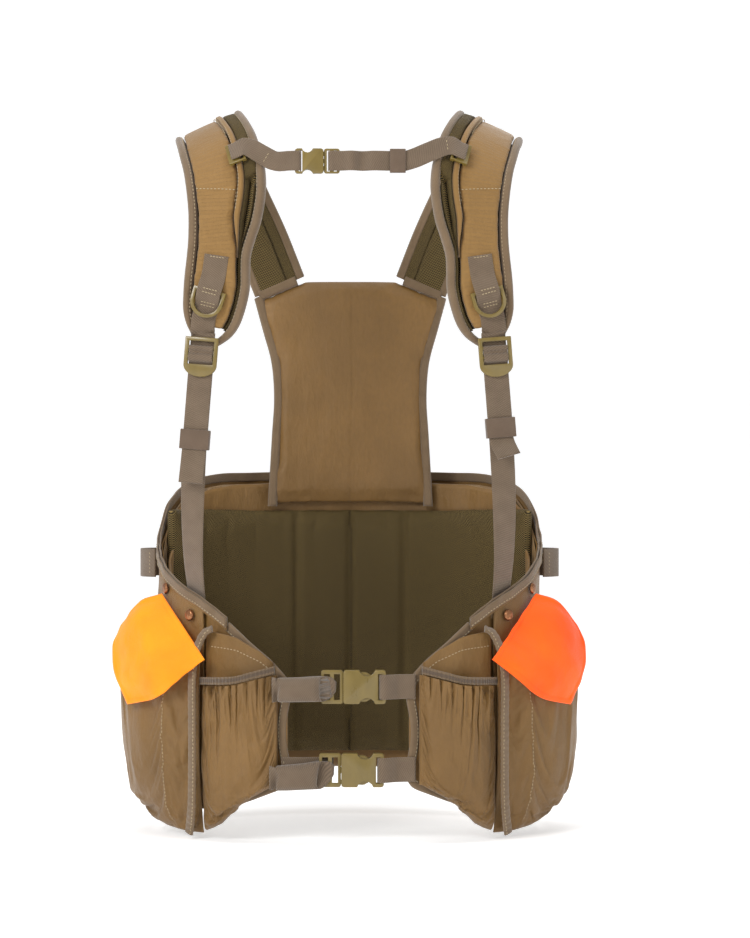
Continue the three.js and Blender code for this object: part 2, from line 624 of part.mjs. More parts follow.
function buildWaistStrap(strap) {
  const frame = buckleFrame(vec(strap.x, WAIST_Y, strap.z), 1);
  const put = (piece, geometry, material) => node(`waist_${strap.name}_${piece}`, geometry, material);
  put('buckle_female', buckleFemale(WAIST_BUCKLE, WAIST_WEBBING).applyMatrix4(frame), PLASTIC);
  put('buckle_male', buckleMale(WAIST_BUCKLE, WAIST_WEBBING).applyMatrix4(frame), PLASTIC);

  // Fixed side: sewn to the left panel's edge, folded round the female half's end bar.
  const slot = strap.x + WAIST_BUCKLE.femaleLength - BUCKLE_RIM - 1.3 * WAIST_WEBBING.thickness;
  const front = WAIST_Y - WAIST_BUCKLE.thickness / 2;
  put('webbing_left', levelRibbon([
    [slot, WAIST_Y + 2, strap.z],
    [slot, front + 2.5, strap.z],
    [slot + 1.6, front - 1, strap.z],
    [slot + 5, front - 1.4, strap.z],
    [slot + 11, front + 2, strap.z],
    [slot + 20, WAIST_Y + 3, strap.z],
    [PANEL_EDGE_X + 4, WAIST_Y + 6, strap.z],
  ], WAIST_WEBBING, 18), WEBBING);

  // Adjusting side: from the right panel, round the frame's bar, back, and rolled into a scroll.
  const bar = strap.x - CLEARANCE - WAIST_BUCKLE.frameLength / 2;
  const sag = (share) => strap.z - strap.droop * share;
  put('webbing_right', levelRibbon([
    [-PANEL_EDGE_X - 4, WAIST_Y + 6, strap.z],
    [-PANEL_EDGE_X + 12, WAIST_Y + 5, strap.z],
    [bar - 14, WAIST_Y + 5.2, strap.z],
    [bar - 3, WAIST_Y + 5, strap.z],
    [bar + 3.4, WAIST_Y + 3.6, strap.z],
    [bar + 4.2, WAIST_Y, strap.z],
    [bar + 3.4, WAIST_Y - 3.8, strap.z],
    [bar - 3, WAIST_Y - 5, strap.z],
    [bar - 12, WAIST_Y - 4.6, strap.z],
    [bar - 30, WAIST_Y - 2.6, sag(0.3)],
    [bar - 52, WAIST_Y - 3.4, sag(0.6)],
    [bar - 60, WAIST_Y - 10, sag(0.8)],
    [bar - 52, WAIST_Y - 18, sag(1)],
    [bar - 34, WAIST_Y - 21, sag(1)],
    [bar - 18, WAIST_Y - 18, sag(1)],
    [bar - 12.5, WAIST_Y - 12, sag(1)],
    [bar - 22, WAIST_Y - 8.2, sag(1)],
    [bar - 40, WAIST_Y - 8.6, sag(1)],
    [bar - 50, WAIST_Y - 11.5, sag(1)],
  ], WAIST_WEBBING, 64), WEBBING);
}

WAIST_STRAPS.forEach(buildWaistStrap);

// ---------------------------------------------------------------- panels, pouches and bag

// A slab on the torso between two angles. Each limit is a number or a function.
function wrap(angles, heights, offsets, columns, rows) {
  const value = (limit, ...at) => (typeof limit === 'function' ? limit(...at) : limit);
  return slab(columns, rows, (a, b, c) => {
    const angle = angles[0] + (angles[1] - angles[0]) * a;
    const low = value(heights[0], angle);
    const z = low + (value(heights[1], angle) - low) * b;
    const inner = value(offsets[0], angle, z);
    return hug(angle, z, inner + (value(offsets[1], angle, z) - inner) * c);
  });
}

const fromFront = (angle) => (angle > 180 ? 360 - angle : angle);

// Height of the vest's top edge, and of its bottom edge, round the torso.
const topEdge = profile([[19, 165], [27, 192], [36, 210], [41, 226], [56, 250], [64, 256], [73, 270],
  [82, 282], [98, 300], [115, 350], [135, 368], [180, 372]]);
const panelBottom = profile([[19, 58], [34, 40], [50, 26], [98, 30]]);
const bagOffset = profile([[50, 9], [90, 14], [118, 26], [150, 56], [180, 68]]);
const wallTop = (angle) => topEdge(fromFront(angle)) - RIM_BINDING.height - LAYER_GAP;
const bagOuter = (angle) => bagOffset(fromFront(angle));
const bagInner = (angle) => profile([[88, SIDE_PANEL_THICKNESS + LAYER_GAP],
  [96, BACK_PADDING + LAYER_GAP]])(fromFront(angle));
const bagBottom = (angle) => profile([[50, 32], [180, 46]])(fromFront(angle));

function gameBag() {
  const angles = [BAG_FROM, 360 - BAG_FROM];
  const whole = wrap(angles, [bagBottom, wallTop], [bagInner, bagOuter], 26, 2);
  const inside = wrap([angles[0] + 1.6, angles[1] - 1.6],
    [(angle) => bagBottom(angle) + BAG_WALL, (angle) => wallTop(angle) + 9],
    [(angle) => bagInner(angle) + BAG_WALL, (angle) => bagOuter(angle) - BAG_WALL], 26, 2);
  return cut(whole, inside);
}

node('game_bag', gameBag(), SHELL_FABRIC);

function bagRim() {
  const top = (angle) => topEdge(fromFront(angle));
  return wrap([RIM_FROM, 360 - RIM_FROM], [(angle) => top(angle) - RIM_BINDING.height, top],
    [(angle) => bagOuter(angle) - RIM_BINDING.thickness, (angle) => bagOuter(angle) + 0.9], 28, 1);
}

function backPanel() {
  const from = PANEL_TO + 2;
  return wrap([from, 360 - from], [BACK_FOOT, BACK_TOP], [0, BACK_PADDING], 14, 2);
}

node('bag_rim_binding', bagRim(), BINDING);
node('back_panel', backPanel(), SHELL_FABRIC);

// Yoke: the padded panel between the strap ends and the back panel.
function yoke() {
  const strapEnd = (x) => 584.2 - Math.max(0, Math.abs(x) - 50) * 0.426;
  const halfAt = profile([[BACK_TOP, 88], [470, 80], [562, 103]]);
  return slab(8, 6, (a, b, c) => {
    const z0 = BACK_TOP + CLEARANCE;
    const half = halfAt(z0 + 228 * b);
    const x = (2 * a - 1) * half;
    const z = z0 + (strapEnd(x) - z0) * b;
    const lower = TORSO.halfDepth * Math.sqrt(1 - (x / TORSO.halfWidth) ** 2);
    const y = lower + (112.5 - lower) * b ** 1.3;
    return vec(x, y + (BACK_PADDING - 1) * c, z);
  });
}

node('back_yoke', yoke(), SHELL_FABRIC);

// Front pouch: an open bag with an elastic mouth, over a flat rear pouch.
const REAR_FROM = SIDE_PANEL_THICKNESS + LAYER_GAP;
const REAR_TO = REAR_FROM + REAR_POUCH_DEPTH;
const pouchBottom = profile([[22, 56], [32, 38], [41, 12], [47.4, 6]]);
const pouchTop = profile([[22, 167], [34, 156], [47.4, 154]]);
const pouchDepth = profile([[22, 17.5], [30, 31], [38, 35], [47.4, 25]]);
const pouchFill = profile([[0, 0.62], [0.22, 1], [0.75, 1], [1, 0.82]]);

function pouchOuter(angle, z) {
  const share = (z - pouchBottom(angle)) / (pouchTop(angle) - pouchBottom(angle));
  return REAR_TO + (pouchDepth(angle) - REAR_TO) * pouchFill(share);
}

function frontPouch() {
  const inner = REAR_TO + CLEARANCE;
  const whole = wrap([POUCH_FROM, POUCH_TO], [pouchBottom, pouchTop],
    [inner, (a, z) => Math.max(pouchOuter(a, z), inner + 2)], 7, 5);
  const inside = wrap([POUCH_FROM + 1.6, POUCH_TO - 1.2],
    [(a) => pouchBottom(a) + 3, (a) => pouchTop(a) + 3],
    [inner + POUCH_WALL, (a, z) => Math.max(pouchOuter(a, z) - POUCH_WALL, inner + POUCH_WALL + 0.5)], 7, 5);
  return cut(whole, inside);
}

function rearPouch() {
  const top = profile([[22, 176], [27, 190], [36, 205], [47.4, 210]]);
  const low = (a) => pouchBottom(a) + 12;
  const whole = wrap([PANEL_FROM + 4, POUCH_TO], [low, top], [REAR_FROM, REAR_TO], 6, 2);
  const inside = wrap([PANEL_FROM + 5.2, POUCH_TO - 1.2], [(a) => low(a) + 2, (a) => top(a) + 3],
    [REAR_FROM + 0.7, REAR_TO - 0.7], 6, 2);
  return cut(whole, inside);
}

const elasticBand = () => wrap([POUCH_FROM, POUCH_TO],
  [(a) => pouchTop(a) + LAYER_GAP, (a) => pouchTop(a) + ELASTIC_HEIGHT],
  [(a) => pouchOuter(a, pouchTop(a)) - 2.6, (a) => pouchOuter(a, pouchTop(a))], 7, 1);

// Cargo pocket: a deep bellows pocket on the side of the bag.
const pocketBottom = profile([[49.6, 3], [58, 3], [75, 8], [90, 30], [118, 40]]);
const pocketDepth = profile([[49.6, 24], [62, 35], [76, 51], [92, 57], [108, 52], [118, 38]]);
const pocketFill = profile([[3, 0.45], [34, 0.72], [52, 0.88], [80, 1], [150, 1], [POCKET_TOP, 0.93]]);

const pocketOuter = (angle, z) => Math.max(pocketDepth(angle) * pocketFill(z), bagOuter(angle) + 5);

function cargoPocket() {
  const inner = (a) => bagOuter(Math.max(a, BAG_FROM)) + LAYER_GAP;
  const whole = wrap([POCKET_FROM, POCKET_TO], [pocketBottom, POCKET_TOP], [inner, pocketOuter], 10, 6);
  const inside = wrap([POCKET_FROM + 1.6, POCKET_TO - 1.2], [(a) => pocketBottom(a) + 3, POCKET_TOP + 4],
    [(a) => inner(a) + POUCH_WALL, (a, z) => pocketOuter(a, z) - POUCH_WALL], 10, 6);
  return cut(whole, inside);
}

// Blaze flap: a patch between its straight sewn edge and its free edges.
const FLAP = {
  bulge: 17,
  hinge: [[194, -45, 246], [146, -118, 182]],
  free: [[238, -24, 212], [247, -27, 190], [244, -40, 163], [229, -62, 132]],
  top: [[194, -45, 246], [217, -39, 238], [238, -24, 212]],
  bottom: [[146, -118, 182], [170, -113, 163], [195, -96, 142], [229, -62, 132]],
};

function patch(edges, thickness, count) {
  const [left, right, top, bottom] = [edges.hinge, edges.free, edges.top, edges.bottom].map(curveThrough);
  const point = (a, b) => {
    const sides = left.getPoint(b).lerp(right.getPoint(b), a);
    const ends = top.getPoint(a).lerp(bottom.getPoint(a), b);
    const corners = left.getPoint(0).lerp(right.getPoint(0), a)
      .lerp(left.getPoint(1).lerp(right.getPoint(1), a), b);
    const swell = edges.bulge * 4 * a * (1 - a) * (1 - (2 * b - 1) ** 4);
    return sides.add(ends).sub(corners).add(vec(0.75 * swell, -0.66 * swell, 0));
  };
  return slab(count, count, (a, b, c) => {
    const h = 0.01;
    const alongA = point(Math.min(a + h, 1), b).sub(point(Math.max(a - h, 0), b));
    const alongB = point(a, Math.min(b + h, 1)).sub(point(a, Math.max(b - h, 0)));
    return point(a, b).addScaledVector(alongB.cross(alongA).normalize(), (0.5 - c) * thickness);
  });
}

// Main seam binding, between the front pouch and the cargo pocket.
function seamBinding() {
  const path = [[43.5, 211, 16], [46, 207, 18.5], [48.2, 190, 23], [48.5, 168, 28], [48.5, 120, 28.5],
    [48.5, 60, 28.5], [49.5, 28, 26], [53, 3, 18]];
  const curve = curveThrough(path.map(([angle, z, offset]) => hug(angle, z, offset).toArray()));
  return ribbon(curve, SEAM_BINDING, 18, () => vec(0.72, 0.7, 0));
}

// Side loop: webbing that stands off the rim, for a lanyard or call.
function sideLoop() {
  const path = [[92, 1.8], [94, 8], [99, 19], [104, 17], [109, 7], [112, 1.9]];
  const curve = curveThrough(path.map(([angle, off]) => hug(angle, 276, bagOuter(angle) + off).toArray()));
  return ribbon(curve, { width: 30, thickness: 1.6 }, 14, () => UP);
}

function snap(angle, z) {
  const spot = hug(angle, z, bagOuter(angle) + CLEARANCE);
  const outward = spot.clone().sub(hug(angle, z, 0)).normalize();
  const turn = new THREE.Quaternion().setFromUnitVectors(vec(0, 1, 0), outward);
  const half = SNAP.height / 2;
  const shoulder = [[SNAP.radius, half * 0.2], [SNAP.radius * 0.8, half]];
  const outline = [[0, -half], [SNAP.radius, -half], ...shoulder, [0, half]];
  const button = new THREE.LatheGeometry(outline.map(([x, y]) => new THREE.Vector2(x, y)), 12);
  return button.applyQuaternion(turn).translate(...spot.addScaledVector(outward, half).toArray());
}

function buildSide(side, label) {
  const put = (piece, geometry, material) => node(`${piece}_${label}`, onSide(geometry, side), material);
  put('side_panel', wrap([PANEL_FROM, PANEL_TO], [panelBottom, wallTop], [0, SIDE_PANEL_THICKNESS], 12, 2),
    SHELL_FABRIC);
  put('rear_pouch', rearPouch(), SHELL_FABRIC);
  put('front_pouch', frontPouch(), SHELL_FABRIC);
  put('pouch_elastic', elasticBand(), ELASTIC);
  put('cargo_pocket', cargoPocket(), SHELL_FABRIC);
  put('blaze_flap', patch(FLAP, FLAP_THICKNESS, 7), BLAZE);
  put('seam_binding', seamBinding(), BINDING);
  put('side_loop', sideLoop(), WEBBING);
  put('snap_rear', snap(72, 251), BRASS);
  put('snap_front', snap(56, 225), BRASS);
}

buildSide(-1, 'right');
buildSide(1, 'left');

export default vest;
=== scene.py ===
import json
import math

import bmesh
import bpy
import numpy as np
from bpy.props import FloatProperty, FloatVectorProperty, PointerProperty
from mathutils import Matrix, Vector, noise
from mathutils.bvhtree import BVHTree


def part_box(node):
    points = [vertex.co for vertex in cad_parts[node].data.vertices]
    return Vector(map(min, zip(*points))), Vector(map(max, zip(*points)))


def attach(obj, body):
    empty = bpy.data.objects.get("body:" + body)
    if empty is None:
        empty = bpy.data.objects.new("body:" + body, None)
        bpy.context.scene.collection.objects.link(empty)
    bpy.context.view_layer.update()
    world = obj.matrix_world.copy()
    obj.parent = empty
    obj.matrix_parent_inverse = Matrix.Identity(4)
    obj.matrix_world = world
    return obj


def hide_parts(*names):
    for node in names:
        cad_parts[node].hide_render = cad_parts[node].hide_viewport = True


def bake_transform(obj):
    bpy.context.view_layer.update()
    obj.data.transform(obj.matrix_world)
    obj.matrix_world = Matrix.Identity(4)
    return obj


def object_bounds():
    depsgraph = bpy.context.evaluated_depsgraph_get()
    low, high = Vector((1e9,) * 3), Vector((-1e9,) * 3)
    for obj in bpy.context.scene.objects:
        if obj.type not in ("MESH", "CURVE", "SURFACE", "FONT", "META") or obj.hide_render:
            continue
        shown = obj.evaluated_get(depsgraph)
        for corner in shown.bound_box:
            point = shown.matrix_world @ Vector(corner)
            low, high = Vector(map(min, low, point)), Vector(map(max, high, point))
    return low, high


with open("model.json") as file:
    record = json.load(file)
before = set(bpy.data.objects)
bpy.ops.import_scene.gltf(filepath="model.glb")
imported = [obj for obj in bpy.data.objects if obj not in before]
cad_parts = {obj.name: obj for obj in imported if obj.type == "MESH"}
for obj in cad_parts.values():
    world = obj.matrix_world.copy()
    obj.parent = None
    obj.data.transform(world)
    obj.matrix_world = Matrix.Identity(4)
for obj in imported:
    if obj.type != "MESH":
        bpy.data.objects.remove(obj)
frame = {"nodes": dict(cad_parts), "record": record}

bl_info = {
    "name": "Strap vest",
    "version": (1, 0, 0),
    "blender": (4, 5, 0),
    "location": "View3D > Sidebar > Vest",
    "description": "Dresses the strap vest's frame in cloth, webbing, padding and moulded fittings",
    "category": "Object",
}

CAD_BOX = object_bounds()
SIDES = {"left": 1, "right": -1}
WEAVE = "Weave"  # UV map on every cloth piece, in metres along and across the cloth
MERGE = 2e-5
UP = np.array((0.0, 0.0, 1.0))


# ---------------------------------------------------------------- sizes and colours


def size(name, default, description, subtype="DISTANCE"):
    unit = "LENGTH" if subtype == "DISTANCE" else "NONE"
    return FloatProperty(name=name, default=default, description=description,
                         subtype=subtype, unit=unit, precision=5)


def colour(name, default, description):
    return FloatVectorProperty(name=name, default=default, description=description,
                               subtype="COLOR", size=3, min=0.0, max=1.0)


class VestSizes(bpy.types.PropertyGroup):
    """Sizes of the vest's cloth, stitching and folds"""

    torso_half_width: size("Torso half width", 0.188, "Half the wearer's width under the panels")
    torso_half_depth: size("Torso half depth", 0.125, "Half the wearer's depth under the panels")
    cloth: size("Shell cloth", 0.0011, "Thickness of the pockets' coated cloth")
    twill: size("Webbing rib", 0.0021, "Spacing of the ribs in the webbing")
    tape_twill: size("Tape rib", 0.0014, "Spacing of the ribs in the binding tape")
    stitch: size("Stitch length", 0.0026, "Length of one stitch on the outside")
    stitch_gap: size("Stitch spacing", 0.0039, "Distance from one stitch to the next")
    thread: size("Thread radius", 0.0005, "Radius of the sewing thread")
    gather: size("Gather depth", 0.0034, "Depth of the gathers under the elastic")
    pad_swell: size("Pad swelling", 0.004, "Furthest that a pad's skin moves as it fills")
    strap_swell: size("Strap swelling", 0.0012, "Furthest that a strap pad's skin moves as it fills")
    pocket_slack: size("Pocket slack", 0.009, "Furthest that a pocket's cloth moves as it settles")
    tuck: size("Tuck", 0.0022, "How far the strap's mesh runs in under its binding")
    edge_round: size("Moulded edge", 0.0006, "Radius of the moulded fittings' edges")


class VestColours(bpy.types.PropertyGroup):
    """Colours of the vest's finishes"""

    face: colour("Strap face", (0.245, 0.132, 0.034), "Smooth cloth on the shoulder straps")
    shell: colour("Shell cloth", (0.180, 0.093, 0.021), "Coated cloth of pockets, panels and bag")
    lining: colour("Bag lining", (0.23, 0.135, 0.05), "Shiny coated inside of the game bag")
    binding: colour("Binding", (0.155, 0.100, 0.052), "Woven tape round the edges")
    webbing: colour("Webbing", (0.135, 0.092, 0.056), "Ribbed webbing")
    elastic: colour("Elastic", (0.115, 0.075, 0.047), "Elastic bands and keepers")
    mesh: colour("Mesh thread", (0.20, 0.135, 0.040), "Threads of the open mesh")
    mesh_hole: colour("Mesh hole", (0.008, 0.006, 0.004), "Dark foam seen through the mesh")
    blaze_right: colour("Blaze, right", (1.0, 0.235, 0.0), "Warning cloth of the wearer's right flap")
    blaze_left: colour("Blaze, left", (1.0, 0.085, 0.0), "Warning cloth of the wearer's left flap")
    plastic: colour("Fittings", (0.150, 0.104, 0.022), "Moulded buckles, rings and locks")
    snap: colour("Snaps", (0.42, 0.19, 0.09), "Copper-coloured snap caps")
    thread: colour("Thread", (0.42, 0.33, 0.20), "Sewing thread")


def sizes():
    return bpy.context.scene.vest_sizes


def colours():
    return bpy.context.scene.vest_colours


# ---------------------------------------------------------------- materials


class Value:
    """A socket inside a finish. Arithmetic on it adds Math nodes."""

    def __init__(self, finish, socket):
        self.finish = finish
        self.socket = socket

    def math(self, operation, *others):
        return self.finish.add("ShaderNodeMath", {"operation": operation}, dict(enumerate((self, *others))))

    def __add__(self, other):
        return self.math("ADD", other)

    __radd__ = __add__

    def __mul__(self, other):
        return self.math("MULTIPLY", other)

    __rmul__ = __mul__

    def __sub__(self, other):
        return self.math("SUBTRACT", other)

    def __rsub__(self, other):
        return self.finish.add("ShaderNodeMath", {"operation": "SUBTRACT"}, {0: other, 1: self})

    def __truediv__(self, other):
        return self.math("DIVIDE", other)

    def __neg__(self):
        return self * -1.0


class Finish:
    """A material built up from expressions."""

    def __init__(self, name):
        self.material = bpy.data.materials.new(name)
        self.material.use_nodes = True
        self.tree = self.material.node_tree
        self.shader = self.tree.nodes["Principled BSDF"]

    def add(self, kind, settings=None, inputs=None, out=0):
        """A node of any kind: its settings are set first, then its sockets."""
        node = self.tree.nodes.new(kind)
        for key, value in (settings or {}).items():
            if key == "stops":
                self.set_stops(node.color_ramp, value)
            else:
                setattr(node, key, value)
        for key, value in (inputs or {}).items():
            self.feed(node.inputs[key], value)
        return Value(self, node.outputs[out])

    @staticmethod
    def set_stops(ramp, stops):
        while len(ramp.elements) < len(stops):
            ramp.elements.new(1.0)
        for element, (place, shade) in zip(ramp.elements, stops):
            element.position = place
            element.color = (*shade, 1.0)

    def feed(self, socket, value):
        if isinstance(value, Value):
            self.tree.links.new(value.socket, socket)
        elif hasattr(value, "__len__") and len(value) == 3 and socket.type == "RGBA":
            socket.default_value = (*value, 1.0)
        else:
            socket.default_value = value

    def surface(self, **values):
        """Feeds the shader: base_color=..., roughness=... and so on."""
        for key, value in values.items():
            self.feed(self.shader.inputs[key.replace("_", " ").title().replace("Ior", "IOR")], value)
        return self.material

    def place(self, stretch=(1, 1, 1)):
        spot = self.add("ShaderNodeTexCoord", out="Object")
        return self.add("ShaderNodeMapping", {}, {"Vector": spot, "Scale": stretch})

    def cloth(self):
        """Metres along and across the cloth."""
        spot = self.add("ShaderNodeUVMap", {"uv_map": WEAVE})
        split = self.add("ShaderNodeSeparateXYZ", {}, {0: spot})
        return split, Value(self, split.socket.node.outputs[1])

    def noise(self, scale, detail=3.0, stretch=(1, 1, 1), roughness=0.5):
        inputs = {"Vector": self.place(stretch), "Scale": scale, "Detail": detail, "Roughness": roughness}
        return self.add("ShaderNodeTexNoise", {}, inputs)

    def between(self, value, low, high, to_low=0.0, to_high=1.0):
        return self.add("ShaderNodeMapRange", {"clamp": True},
                        {0: value, 1: low, 2: high, 3: to_low, 4: to_high})

    def mix(self, share, first, second):
        mixer = self.tree.nodes.new("ShaderNodeMix")
        mixer.data_type = "RGBA"
        self.feed(mixer.inputs[0], share)
        self.feed(mixer.inputs[6], first)
        self.feed(mixer.inputs[7], second)
        return Value(self, mixer.outputs[2])

    def bump(self, height, distance, strength=1.0, normal=None):
        inputs = {"Height": height, "Distance": distance, "Strength": strength}
        if normal is not None:
            inputs["Normal"] = normal
        return self.add("ShaderNodeBump", {}, inputs)


def shade(rgb, factor):
    return tuple(min(1.0, c * factor) for c in rgb)


def wave(value, pitch, phase=0.0):
    return (value * (2 * math.pi / pitch) + phase).math("SINE")


def ribbed(name, rgb, pitch, depth, contrast=0.55, roughness=0.82):
    """Twilled webbing or tape: slanting ribs with lighter threads on their crests."""
    finish = Finish(name)
    along, across = finish.cloth()
    slant = wave(along + across * 0.55, pitch)
    thread = wave(along * -0.4 + across, pitch * 0.62)
    weave = (slant * 0.6 + slant * thread * 0.55) * 0.5 + 0.5
    wear_and_highlight = finish.between(finish.noise(75.0, 4.0), 0.3, 0.72)
    fuzz = finish.noise(1400.0, 2.0)
    tone = finish.mix(weave, shade(rgb, 1 - contrast), shade(rgb, 1 + contrast * 0.7))
    tone = finish.mix(wear_and_highlight * 0.35, tone, shade(rgb, 1.35))
    normal = finish.bump(weave + fuzz * 0.25, depth)
    return finish.surface(base_color=tone, roughness=finish.between(wear_and_highlight, 0, 1, roughness, roughness - 0.12),
                          normal=normal, sheen_weight=0.35, sheen_roughness=0.5, specular_ior_level=0.35)


def woven(name, rgb, roughness, crease=0.0009, sheen=0.2, coat=0.0, variation=0.22, grain=0.00006):
    """Plain-woven cloth with a fine weave, soft creases and a little variation in its colour."""
    finish = Finish(name)
    along, across = finish.cloth()
    weave = wave(along, 0.00085) * wave(across, 0.00085)
    broad = finish.between(finish.noise(9.0, 4.0), 0.32, 0.7)
    fine = finish.noise(320.0, 3.0, (1, 1, 0.5))
    creases = finish.noise(34.0, 5.0, (1.2, 1.2, 0.55), 0.55)
    tone = finish.mix(broad, shade(rgb, 1 - variation), shade(rgb, 1 + variation))
    tone = finish.mix(finish.between(fine, 0.35, 0.7) * 0.3, tone, shade(rgb, 0.72))
    tone = finish.mix((weave * 0.5 + 0.5) * 0.18, tone, shade(rgb, 1.3))
    folds = finish.bump(creases, crease * 6)
    normal = finish.bump(weave, grain, 1.0, folds)
    gloss = finish.between(broad, 0, 1, roughness + 0.06, roughness - 0.06)
    return finish.surface(base_color=tone, roughness=gloss, normal=normal, sheen_weight=sheen,
                          sheen_roughness=0.45, coat_weight=coat, coat_roughness=0.35,
                          specular_ior_level=0.4)


def open_mesh(name, thread, hole):
    """Spacer mesh: a lattice of threads round dark diamond-shaped holes."""
    finish = Finish(name)
    along, across = finish.cloth()
    pitch = 0.0046
    one = wave(along + across * 1.6, pitch).math("ABSOLUTE")
    two = wave(along - across * 1.6, pitch).math("ABSOLUTE")
    holes = finish.between(one * two, 0.22, 0.5)
    twist = wave(along * 1.3 + across, 0.0007) * 0.5 + 0.5
    lit = finish.mix(twist, shade(thread, 0.65), shade(thread, 1.5))
    tone = finish.mix(holes, lit, hole)
    normal = finish.bump(1.0 - holes + twist * 0.1, 0.0009)
    return finish.surface(base_color=tone, roughness=finish.between(holes, 0, 1, 0.6, 0.95),
                          normal=normal, specular_ior_level=0.3)


def warning_cloth(name, rgb):
    """Fluorescent cloth: it glows a little beyond the light that falls on it."""
    finish = Finish(name)
    along, across = finish.cloth()
    weave = wave(along, 0.0009) * wave(across, 0.0009)
    broad = finish.between(finish.noise(14.0, 3.0), 0.3, 0.7)
    creases = finish.noise(30.0, 4.0)
    tone = finish.mix(broad, shade(rgb, 0.9), (rgb[0], min(1.0, rgb[1] * 1.25 + 0.01), rgb[2]))
    tone = finish.mix((weave * 0.5 + 0.5) * 0.15, tone, shade(rgb, 0.8))
    normal = finish.bump(weave, 0.00005, 1.0, finish.bump(creases, 0.003))
    return finish.surface(base_color=tone, roughness=finish.between(broad, 0, 1, 0.66, 0.56), normal=normal,
                          emission_color=tone, emission_strength=0.28, sheen_weight=0.15,
                          specular_ior_level=0.25)


def moulded(name, rgb):
    """Moulded plastic: smooth, with faint flow marks and a painted highlight that lightens its sharp edges.
    """
    finish = Finish(name)
    flow = finish.noise(90.0, 3.0, (1, 1, 0.4))
    speck = finish.noise(1500.0, 2.0)
    edges = finish.add("ShaderNodeNewGeometry", {}, {}, "Pointiness")
    # Painted highlight: the sharp convex edges (high pointiness) are mixed towards a lighter colour.
    wear_and_highlight = finish.between(edges, 0.5, 0.6)
    tone = finish.mix(finish.between(flow, 0.3, 0.7), shade(rgb, 0.88), shade(rgb, 1.12))
    tone = finish.mix(wear_and_highlight * 0.4, tone, shade(rgb, 1.6))
    normal = finish.bump(speck + flow * 0.6, 0.00004)
    return finish.surface(base_color=tone, roughness=finish.between(flow, 0.3, 0.7, 0.27, 0.38),
                          normal=normal, coat_weight=0.12, coat_roughness=0.2, specular_ior_level=0.55)


def metal(name, rgb):
    finish = Finish(name)
    tarnish = finish.between(finish.noise(420.0, 3.0), 0.35, 0.7)
    tone = finish.mix(tarnish, rgb, shade(rgb, 0.45))
    return finish.surface(base_color=tone, metallic=0.95, roughness=finish.between(tarnish, 0, 1, 0.22, 0.45),
                          normal=finish.bump(tarnish, 0.00005))


def spun(name, rgb):
    """Sewing thread, twisted and slightly glossy."""
    finish = Finish(name)
    twist = finish.noise(2600.0, 2.0)
    tone = finish.mix(finish.between(twist, 0.3, 0.7), shade(rgb, 0.75), shade(rgb, 1.2))
    return finish.surface(base_color=tone, roughness=0.6, normal=finish.bump(twist, 0.0001))


def striped_band(name, edge, middle):
    """Folded elastic: lighter ribbed edges either side of a darker middle."""
    finish = Finish(name)
    along, across = finish.cloth()
    inside = finish.between((across - 0.0042).math("ABSOLUTE"), 0.0014, 0.0022)
    rib = wave(along, 0.0011) * 0.5 + 0.5
    slant = wave(along + across * 0.8, 0.0016) * 0.5 + 0.5
    tone = finish.mix(inside, shade(middle, 0.8), edge)
    tone = finish.mix(rib * 0.35, tone, shade(edge, 0.55))
    normal = finish.bump(rib * 0.6 + slant * 0.4 + inside * 1.2, 0.0003)
    return finish.surface(base_color=tone, roughness=0.85, normal=normal, sheen_weight=0.3)


def plain_floor(name, rgb):
    finish = Finish(name)
    grain = finish.noise(3.0, 3.0)
    tone = finish.mix(finish.between(grain, 0.3, 0.7), shade(rgb, 0.985), rgb)
    return finish.surface(base_color=tone, roughness=0.9, emission_color=rgb, emission_strength=0.42)


def make_finish(name):
    own, dims = colours(), sizes()
    recipes = {
        "face_fabric": lambda: woven("strap face cloth", own.face, 0.72, 0.0003, 0.3, 0.0, 0.1),
        "shell_fabric": lambda: woven("shell cloth", own.shell, 0.47, 0.0007, 0.1, 0.04),
        "lining": lambda: woven("bag lining", own.lining, 0.3, 0.0016, 0.1, 0.35, 0.3),
        "binding_tape": lambda: ribbed("binding tape", own.binding, dims.tape_twill, 0.00022, 0.35),
        "webbing": lambda: ribbed("webbing", own.webbing, dims.twill, 0.00035, 0.5, 0.75),
        "elastic": lambda: ribbed("elastic", own.elastic, 0.0012, 0.0002, 0.3),
        "band": lambda: striped_band("pocket band", own.binding, own.elastic),
        "lining_mesh": lambda: open_mesh("spacer mesh", own.mesh, own.mesh_hole),
        "blaze_left": lambda: warning_cloth("warning cloth, left", own.blaze_left),
        "blaze_right": lambda: warning_cloth("warning cloth, right", own.blaze_right),
        "buckle_plastic": lambda: moulded("moulded fittings", own.plastic),
        "snap_metal": lambda: metal("snap caps", own.snap),
        "thread": lambda: spun("sewing thread", own.thread),
        "floor": lambda: plain_floor("pale floor", (0.9, 0.9, 0.9)),
    }
    return recipes[name]()


_finishes = {}


def finish_of(name):
    if name not in _finishes:
        _finishes[name] = make_finish(name)
    return _finishes[name]


# ---------------------------------------------------------------- reading the frame


def welded(node):
    """A CAD node's skin with its shared corners merged."""
    work = bmesh.new()
    work.from_mesh(frame["nodes"][node].data)
    bmesh.ops.remove_doubles(work, verts=work.verts, dist=MERGE)
    work.verts.ensure_lookup_table()
    return work


def unit(v):
    v = np.asarray(v, float)
    return v / np.maximum(np.linalg.norm(v, axis=-1, keepdims=True), 1e-12)


